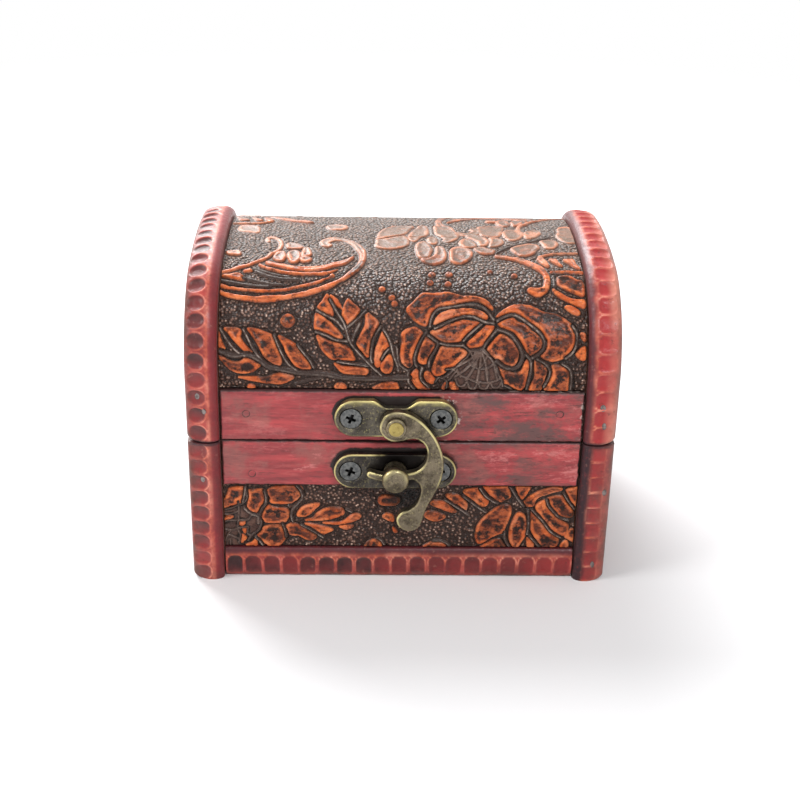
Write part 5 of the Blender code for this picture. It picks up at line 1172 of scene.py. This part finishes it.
def plate_dirt_and_shade(U, V, body):
    """Distance from the plate on a strip, and the dirt and painted shade round it."""
    reach = np.maximum(np.abs(U - LATCH_X) - PLATE_STRAIGHT, 0.0)
    above = V - (PLATE_Z if body == "lid" else KNOB_Z)
    distance = np.hypot(reach, above) - PLATE_R
    over, below = (0.62, 0.35) if body == "lid" else (1.15, 0.5)
    dirt = np.clip(1.1 - distance / np.where(above > 0, over, below), 0, 1)
    return distance, dirt * np.where(U > LATCH_X + 8, 0.6, 1.0)


def strip(name, body, width, low, high, inner, face, side, seed, step):
    """A plain wooden strip with worn edges."""
    rng = np.random.default_rng(seed)
    u = np.linspace(-width, width, int(2 * width / step) + 1)
    v = np.linspace(low, high, int((high - low) / STRIP_RISE_STEP) + 1)
    U, V = np.meshgrid(u, v)
    end = width - np.abs(U)
    near = np.minimum(np.minimum(V - low, high - V), end)
    ragged = near + 0.10 * soft_noise(U.shape, 3, rng) + 0.06 * soft_noise(U.shape, 9, rng)
    drop = EDGE_WEAR * (1 - step_up(0.0, WEAR_REACH, ragged)) ** 1.3
    nails = np.full(U.shape, FAR)
    for x, z in STRIP_NAILS.get(name, ()):
        nails = np.minimum(nails, np.abs(np.hypot(U - x, V - z) - NAIL_R))
    drop += NAIL_DEPTH * np.exp(-(nails / NAIL_LINE) ** 2)
    out = np.minimum(face - drop - RIPPLE * (1 + soft_noise(U.shape, 16, rng)), face)
    wear = (0.80 if body == "lid" else 0.56) * step_up(4.0, 20.0, U)
    worn = np.clip(0.26 + wear + 0.2 * soft_noise(U.shape, 30, rng), 0, 1)
    # painted light: the base's strips paler throughout, the lid's paler towards the right
    pale = 0.30 + 0.35 * step_up(0.0, 20.0, U) if body == "lid" else np.full(U.shape, 0.85)
    grime = 0.66 * np.exp(-(nails / 0.24) ** 2)
    flake = np.zeros(U.shape)
    stop = end + 0.22 * soft_noise(U.shape, 4, rng)
    if side == "front":
        # dirt and painted shade round the latch plates
        off_plate, dirt = plate_dirt_and_shade(U, V, body)
        grime = np.maximum(np.maximum(grime, dirt), np.where(U > 0, 0.85, 0.55) * step_up(0.62, 0.12, stop))
        if body == "lid":
            by_plate = step_up(0.7, 0.1, np.abs(off_plate - 0.15)) * step_up(8.0, 9.5, U - LATCH_X)
            splinters = step_up(0.55, 0.10, V - low + 0.25 * soft_noise(U.shape, 5, rng))
            splinters *= step_up(-4.0, 8.0, U) * step_up(0.1, 0.6, soft_noise(U.shape, 12, rng))
            at_end = step_up(0.9, 0.3, stop) * (U > 0) * step_up(0.3, 1.2, V - low)
            flake = np.maximum(by_plate, 0.8 * np.maximum(splinters, at_end))
    masks = {"edge": np.clip(near, 0, 1.2) * (1 - 0.97 * np.exp(-(nails / 0.20) ** 2)), "flake": flake,
             "worn": worn, "grime": grime, "pale": pale}
    under = np.full(out.shape, inner)
    return sheet_piece(name + "_worn", sided(U, V, out, side), sided(U, V, under, side), masks,
                       STRIP if side in ("front", "back") else END_STRIP, body, [name])


for side in ("front", "back", "left", "right"):
    on_end = side in ("left", "right")
    step = FRONT_STRIP_STEP if side == "front" else UNSEEN_STRIP_STEP
    width, inner, face = FIELD_X, SEAT_Y, DEPTH / 2 - STRIP_DROP
    if on_end:
        width, inner, face = SHELL_Y, SEAT_X, END_STRIP_X
    for body, low, high, seed in (("lid", LID_BOTTOM, LID_STRIP_TOP, 31),
                                  ("base", BASE_STRIP_Z, BASE_TOP, 32)):
        strip("%s_%s_rim_strip" % (body, side), body, width, low, high, inner, face, side,
              seed + 2 if on_end else seed, step)


# Latch
def arc(centre, radius, start, end, count):
    """Points on an arc, from start to end in degrees; radius is one for all, or one for each point."""
    turn = np.radians(np.linspace(start, end, count))
    return np.stack([centre[0] + radius * np.cos(turn), centre[1] + radius * np.sin(turn)], axis=1)


def hole_at(height, radius):
    """A round hole, clockwise, that far above a plate's middle."""
    return arc((0.0, height), radius, 360.0, 10.0, 36)


def lobed(half_length, radius, dip):
    """A plate's outline with round ends; its upper edge sinks by dip towards the middle."""
    centre = half_length - radius
    outline = [arc((centre, 0.0), radius, -90.0, 90.0, 40)]
    if dip > 0.0:
        x = np.linspace(centre, -centre, 82)[1:-1]
        outline.append(np.stack([x, radius - dip * (1 - step_up(1.6, 4.4, np.abs(x)))], axis=1))
    outline.append(arc((-centre, 0.0), radius, 90.0, 270.0, 40))
    return np.vstack(outline)


def ring_points(outline, inset, upper=0.0):
    """The outline moved inwards along its own normals, and further at its upper edges."""
    tangent = np.roll(outline, -1, axis=0) - np.roll(outline, 1, axis=0)
    tangent /= np.maximum(np.hypot(tangent[:, 0], tangent[:, 1])[:, None], 1e-9)
    normal = np.stack([-tangent[:, 1], tangent[:, 0]], axis=1)
    return outline + normal * (inset + upper * np.clip(-normal[:, 1:], 0.0, 1.0))


def ring_at(bm, radius, height, sides):
    """Vertices in a ring about local Z."""
    turns = [2 * math.pi * k / sides for k in range(sides)]
    return [bm.verts.new((radius * math.cos(turn) * MM, radius * math.sin(turn) * MM, height * MM))
            for turn in turns]


def bridge(bm, rings):
    """Faces between rings of vertices; a ring may be one vertex repeated, which makes a pole."""
    for lower, upper in zip(rings[:-1], rings[1:]):
        for i in range(len(lower)):
            k = (i + 1) % len(lower)
            corners = list(dict.fromkeys((lower[i], lower[k], upper[k], upper[i])))
            if len(corners) > 2:
                bm.faces.new(corners)


def plate(name, body, outline, hole, thickness, place, material, nodes, edge=0.22, ring=1.0, polish=0.0):
    """A brass plate with rounded edges; its outline runs anticlockwise and its hole clockwise, in mm."""
    bm = bmesh.new()
    layer = bm.verts.layers.float.new("edge")
    steps = [(0.0, 0.0, 0.1), (0.0, thickness - 2 * edge, 0.25), (0.0, thickness - edge, 0.8)]
    steps += [(edge * (1 - math.cos(turn)), thickness - edge + edge * math.sin(turn), 1.0)
              for turn in np.radians([30, 60, 90])]
    steps += [(edge + 0.08, thickness, 0.80), (edge + 0.16, thickness, 0.3 + polish),
              (edge + 0.30, thickness, 0.0)]
    fronts, backs = [], []
    for loop in (outline, hole):
        rings = []
        for inset, up, value in steps:
            upper = polish * max(0.0, inset - edge - 0.08) * 7.0 if loop is outline else 0.0
            points = ring_points(loop, inset, upper)
            rings.append([bm.verts.new((x * MM, y * MM, (up - thickness / 2) * MM)) for x, y in points])
            for vert in rings[-1]:
                vert[layer] = value if loop is outline else value * ring
        bridge(bm, rings)
        fronts += [bm.edges.get((rings[-1][i], rings[-1][i - 1])) for i in range(len(loop))]
        backs += [bm.edges.get((rings[0][i], rings[0][i - 1])) for i in range(len(loop))]
    bmesh.ops.triangle_fill(bm, edges=fronts, use_beauty=True)
    bmesh.ops.triangle_fill(bm, edges=backs, use_beauty=True)
    bmesh.ops.recalc_face_normals(bm, faces=bm.faces)
    mesh = mesh_from(bm, name)
    mesh.transform(place)
    return dressed(name, mesh, 50, material, body, nodes)


def turned(name, body, profile, edges, place, material, nodes, sides=56):
    """A piece turned about local Z, from (radius, height) pairs in mm, with how bright each one is worn."""
    bm = bmesh.new()
    layer = bm.verts.layers.float.new("edge")
    rings = []
    for (radius, height), value in zip(profile, edges):
        if radius == 0.0:
            rings.append([bm.verts.new((0.0, 0.0, height * MM))] * sides)
        else:
            rings.append(ring_at(bm, radius, height, sides))
        for vert in rings[-1]:
            vert[layer] = value
    bridge(bm, rings)
    bmesh.ops.recalc_face_normals(bm, faces=bm.faces)
    mesh = mesh_from(bm, name)
    mesh.transform(place)
    return dressed(name, mesh, 40, material, body, nodes)


def take_away(piece, cutter):
    """Cuts the cutter's shape out of a piece, and deletes the cutter."""
    modifier = piece.modifiers.new("joined", "BOOLEAN")
    modifier.operation = "DIFFERENCE"
    modifier.solver = "EXACT"
    modifier.object = cutter
    bpy.context.view_layer.update()
    mesh = bpy.data.meshes.new_from_object(piece.evaluated_get(bpy.context.evaluated_depsgraph_get()))
    piece.modifiers.clear()
    piece.data = mesh
    bpy.data.objects.remove(cutter)


def cut_box(piece, low, high, place):
    """Cuts a box, given by two corners in mm in the place's axes, out of a piece."""
    low, high = Vector(low) * MM, Vector(high) * MM
    size = Matrix.Diagonal((*(high - low), 1.0))
    bm = bmesh.new()
    bmesh.ops.create_cube(bm, size=1.0, matrix=place @ Matrix.Translation((low + high) / 2) @ size)
    take_away(piece, linked("cut", mesh_from(bm, "cut")))


def cut_seat(piece, place):
    """Cuts a countersunk seat for a screw's head out of a plate."""
    bm = bmesh.new()
    rings = [ring_at(bm, radius, height, 48) for radius, height in SCREW_SEAT]
    bridge(bm, rings)
    bm.faces.new(rings[0][::-1])
    bm.faces.new(rings[-1])
    cutter = linked("seat", mesh_from(bm, "seat"))
    cutter.matrix_world = place
    take_away(piece, cutter)


def facing(x, depth, z):
    """Local X right, local Y up and local Z towards the viewer, at that depth in front of the middle."""
    return Matrix.Translation((x * MM, -depth * MM, z * MM)) @ Matrix.Rotation(math.radians(90), 4, "X")


PLATE_MIDDLE, PLATE_THICKNESS, SCREW_SHARE = (PLATE_BACK + PLATE_FRONT) / 2, 1.3, 0.73
EYE_R, KNOB_HOLE_R, PIVOT_TO_KNOB = 1.3, 2.28, 10.35
UPPER_HALF, LOWER_HALF = 11.4, 11.5
upper_plate = plate("latch_plate_worn", "lid", lobed(UPPER_HALF, PLATE_R, 1.5), hole_at(-0.7, EYE_R),
                    PLATE_THICKNESS, facing(LATCH_X, PLATE_MIDDLE, PLATE_Z), BRASS, ["latch_plate"],
                    polish=0.25)
lower_plate = plate("keeper_plate_worn", "base", lobed(LOWER_HALF, 3.6, 0.0), hole_at(0.0, KNOB_HOLE_R),
                    PLATE_THICKNESS, facing(LATCH_X, PLATE_MIDDLE, KNOB_Z), SOOTY_SHADED_BRASS, ["keeper_plate"],
                    ring=0.2)

SCREW = ((0.0, -5.0), (0.8, -4.2), (0.8, -0.9), (1.95, -0.2), (2.0, -0.12), (1.92, -0.02), (1.7, 0.0),
         (0.0, 0.05))
SCREW_SEAT = ((2.08, -0.9), (2.08, -0.16), (2.3, 0.06), (2.3, 1.0))
for name, body, offset, angle in (("latch_plate_left_screw", "lid", -UPPER_HALF, -22.0),
                                  ("latch_plate_right_screw", "lid", UPPER_HALF, 38.0),
                                  ("keeper_plate_left_screw", "base", -LOWER_HALF, -20.0),
                                  ("keeper_plate_right_screw", "base", LOWER_HALF, 8.0)):
    holder, z = (upper_plate, PLATE_Z) if body == "lid" else (lower_plate, KNOB_Z)
    place = facing(LATCH_X + SCREW_SHARE * offset, PLATE_FRONT, z)
    cut_seat(holder, place)
    screw = turned(name + "_crossed", body, SCREW, [1] * len(SCREW), place, STEEL, [name], 48)
    for quarter in (0, 90):
        slot = place @ Matrix.Rotation(math.radians(angle + quarter), 4, "Z")
        cut_box(screw, (-0.98, -0.29, -0.8), (0.98, 0.29, 1.0), slot)
    spots = [place.inverted() @ vert.co for vert in screw.data.vertices]
    bright = [0.0 if spot.z < -0.3 * MM and spot.xy.length < 1.2 * MM else 1.0 for spot in spots]
    screw.data.attributes["edge"].data.foreach_set("value", bright)

RIVET = ((0.0, -3.4), (1.0, -3.4), (1.0, 0.0), (1.36, 0.0), (1.44, 0.10), (1.44, 0.62), (1.34, 0.79),
         (0.95, 0.87), (0.5, 0.9), (0.0, 0.9))
COLLAR = ((0.0, 0.0), (1.86, 0.0), (1.95, 0.12), (1.93, 0.42), (1.80, 0.56), (1.46, 0.58), (0.0, 0.58))
place = facing(LATCH_X, HOOK_FRONT + GAP, PIVOT_Z)
turned("latch_pivot_rivet_worn", "lid", RIVET, (0, 0, 0, 0, 0, 0.3, 0.9, 0.4, 0, 0), place, RIVET_BRASS,
       ["latch_pivot_rivet"])
turned("latch_pivot_collar", "lid", COLLAR, (0, 0, 0.2, 0.7, 0.9, 0.0, 0), place, HOOK_BRASS, [])
TONGUE_REACH, GROOVE_PLAY = 11.55, 0.3
head_back, head_front = HOOK_FRONT + 0.5, HOOK_FRONT + 2.3
knob = ((0.0, PLATE_BACK), (2.2, PLATE_BACK), (2.2, head_back), (2.4, head_back), (2.5, head_back + 0.12),
        (2.5, head_front - 0.75), (2.42, head_front - 0.45), (2.25, head_front - 0.18), (2.0, head_front),
        (0.0, head_front))
place = facing(LATCH_X, 0.0, KNOB_Z)
post = turned("latch_knob_worn", "base", knob, (0, 0, 0, 0.4, 0.6, 0.6, 1, 1, 0.9, 0), place, HOOK_BRASS,
              ["latch_knob"])
cut_box(post, (-4.0, PIVOT_TO_KNOB - TONGUE_REACH - GROOVE_PLAY, PLATE_FRONT), (4.0, 4.0, head_back), place)


# Hook: its outer and inner line as shares of the way from its pivot to the knob, and between them the
# tongue on an arc about the pivot, whose radii in mm run from its root to its tip
HOOK_BACK_SHARES = points_of("""
-0.295,0.0 -0.205,0.210 0.0,0.295 0.255,0.235 0.480,0.075 0.690,-0.190 0.825,-0.500 0.868,-0.810
0.820,-1.115 0.700,-1.400 0.575,-1.670 0.515,-1.890 0.440,-2.075 0.275,-2.150 0.095,-2.070 0.035,-1.900
0.125,-1.755 0.285,-1.695 0.405,-1.560 0.468,-1.340 0.452,-1.195 0.375,-1.100
""")
HOOK_THROAT_SHARES = points_of("""
0.335,-0.915 0.440,-0.855 0.530,-0.735 0.565,-0.545 0.515,-0.360 0.375,-0.245 0.220,-0.250 0.095,-0.285
-0.090,-0.285 -0.240,-0.175
""")
PIVOT, TIP_R, HOOK_THICKNESS = (0.0, 0.0), 0.64, 1.6
outer, inner = np.linspace(11.5, 11.74, 8), np.linspace(10.42, 10.0, 7)
tip_turn = math.radians(-115)
tip = 11.08 * np.array([math.cos(tip_turn), math.sin(tip_turn)])
hook_points = np.vstack([PIVOT_TO_KNOB * HOOK_BACK_SHARES, arc(PIVOT, outer, -74.0, -113.0, 8),
                         arc(tip, TIP_R, -130.0, -280.0, 6), arc(PIVOT, inner, -113.0, -77.0, 7),
                         PIVOT_TO_KNOB * HOOK_THROAT_SHARES])
plate("latch_hook_worn", "hook", smooth(hook_points[::-1], True, 5), hole_at(0.0, EYE_R), HOOK_THICKNESS,
      facing(LATCH_X, (HOOK_BACK + HOOK_FRONT) / 2, PIVOT_Z), HOOK_BRASS, ["latch_hook"], edge=0.3)


# Brads driven in just below the surface of the mouldings
BRAD = ((0.0, -1.2), (0.3, -1.2), (0.42, -0.2), (0.46, 0.04), (0.34, 0.10), (0.12, 0.05), (0.0, 0.02))
BRADS = (("lid_left_rib", "lid", -37.72, 39.33), ("lid_left_rib", "lid", -36.55, 36.48),
         ("base_front_left_corner_strip", "base", -37.32, 22.03), ("lid_right_rib", "lid", 37.03, 37.76),
         ("lid_right_rib", "lid", 37.52, 34.02), ("base_front_right_corner_strip", "base", 37.6, 3.73),
         ("base_front_right_corner_strip", "base", 38.69, 19.79))
for index, (holder, body, x, z) in enumerate(BRADS):
    rng = np.random.default_rng(index)
    hit, spot, normal, _ = carved[holder].ray_cast(Vector((x * MM, -0.1, z * MM)), Vector((0.0, 1.0, 0.0)))
    if hit:
        normal = (normal + Vector((0.0, -1.0, 0.0))).normalized()
        place = Matrix.Translation(spot) @ normal.to_track_quat("Z", "Y").to_matrix().to_4x4()
        place = place @ Matrix.Diagonal((0.95 + 0.1 * rng.normal(), 1.45, 1.0, 1.0))
        turned("brad_%d" % (index + 1), body, BRAD, (0.4, 0.4, 0.3, 0.6, 1, 1, 1), place, BRAD_STEEL, [],
               14)


# Carried-over CAD nodes: the first of these words in a node's name gives its material
NODE_LOOKS = (("hinge", HINGE_BRASS), ("leather", LEATHER), ("screw", STEEL), ("rib", MOULDING),
              ("corner", MOULDING), ("foot", MOULDING), ("strip", STRIP), ("latch", BRASS), ("keeper", BRASS),
              ("left", END_WOOD), ("right", END_WOOD), ("", WOOD))
for node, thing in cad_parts.items():
    for holder in thing.material_slots:
        holder.material = next(look for word, look in NODE_LOOKS if word in node)


# Camera, floor and light
CAMERA_YAW, CAMERA_PITCH, CAMERA_ROLL = 0.028617, 0.458065, 0.020894
CAMERA_PLACE = (-0.007478, -0.272213, 0.158730)
FOCAL_PIXELS, PICTURE_PIXELS, SENSOR = 1472.21, 800, 36.0
LAMP_TARGET = (0.0, 0.0, 0.03)
FLOOR_SIZE, WHITE_FROM, WHITE_TO = 3.0, 0.20, 0.42
UNSEEN_WORLD = 0.43  # the white world's strength for diffuse light


def set_camera():
    yaw, pitch, roll = CAMERA_YAW, CAMERA_PITCH, CAMERA_ROLL
    ahead = Vector((math.sin(yaw) * math.cos(pitch), math.cos(yaw) * math.cos(pitch), -math.sin(pitch)))
    right = Vector((math.cos(yaw), -math.sin(yaw), 0.0))
    up = right.cross(ahead)
    rolled = math.cos(roll) * right + math.sin(roll) * up
    upright = -math.sin(roll) * right + math.cos(roll) * up
    data = bpy.data.cameras.new("photo_camera")
    data.sensor_width = SENSOR
    data.lens = FOCAL_PIXELS / PICTURE_PIXELS * SENSOR
    data.clip_start = 0.01
    camera = linked("photo_camera", data)
    camera.matrix_world = (Matrix.Translation(CAMERA_PLACE)
                           @ Matrix((rolled, upright, -ahead)).transposed().to_4x4())
    bpy.context.scene.camera = camera


def add_lamp(name, place, size, energy):
    data = bpy.data.lights.new(name, "AREA")
    data.shape = "DISK"
    data.size = size
    data.energy = energy
    lamp = linked(name, data)
    lamp.location = place
    lamp.rotation_euler = (Vector(LAMP_TARGET) - Vector(place)).to_track_quat("-Z", "Y").to_euler()


def rays_seen(n):
    """1 for camera, glossy and transmission rays."""
    rays = n.add("LightPath").outputs
    either = n.math("MAXIMUM", rays["Is Camera Ray"], rays["Is Glossy Ray"])
    return n.math("MAXIMUM", either, rays["Is Transmission Ray"])


def floor_material():
    """Pale, and running out into the white background well beyond the object's shadow."""
    n = Nodes("pale_floor")
    material = n.finish((0.83, 0.83, 0.84, 1.0), 0.9, Specular_IOR_Level=0.1)
    away = n.add("VectorMath", operation="LENGTH")
    n.link(n.where(), away.inputs[0])
    far = n.times(n.span(away.outputs["Value"], WHITE_FROM, WHITE_TO), rays_seen(n))
    both = n.add("MixShader")
    surfaces = (n.tree.nodes["Principled BSDF"], n.add("Emission"))
    for value, socket in zip((far, *(surface.outputs[0] for surface in surfaces)), both.inputs):
        n.link(value, socket)
    n.link(both.outputs[0], n.tree.nodes["Material Output"].inputs["Surface"])
    return material


def set_stage():
    bm = bmesh.new()
    bmesh.ops.create_grid(bm, x_segments=1, y_segments=1, size=FLOOR_SIZE)
    floor = linked("floor", mesh_from(bm, "floor"))
    floor.data.materials.append(floor_material())
    n = Nodes("studio", bpy.data.worlds)
    inputs = n.tree.nodes["Background"].inputs
    n.link((1.0, 1.0, 1.0, 1.0), inputs["Color"])
    n.link(n.math("MULTIPLY_ADD", rays_seen(n), 1.0 - UNSEEN_WORLD, UNSEEN_WORLD), inputs["Strength"])
    bpy.context.scene.world = n.holder
    bpy.context.scene.view_settings.view_transform = "Standard"


set_camera()
set_stage()
for name, place, size, energy in (("window", (-0.28, 0.60, 0.56), 0.68, 13.4),
                                  ("side", (-0.55, -0.20, 0.42), 0.30, 2.0),
                                  ("front", (0.20, -0.50, 0.62), 0.13, 2.4)):
    add_lamp(name, place, size, energy)
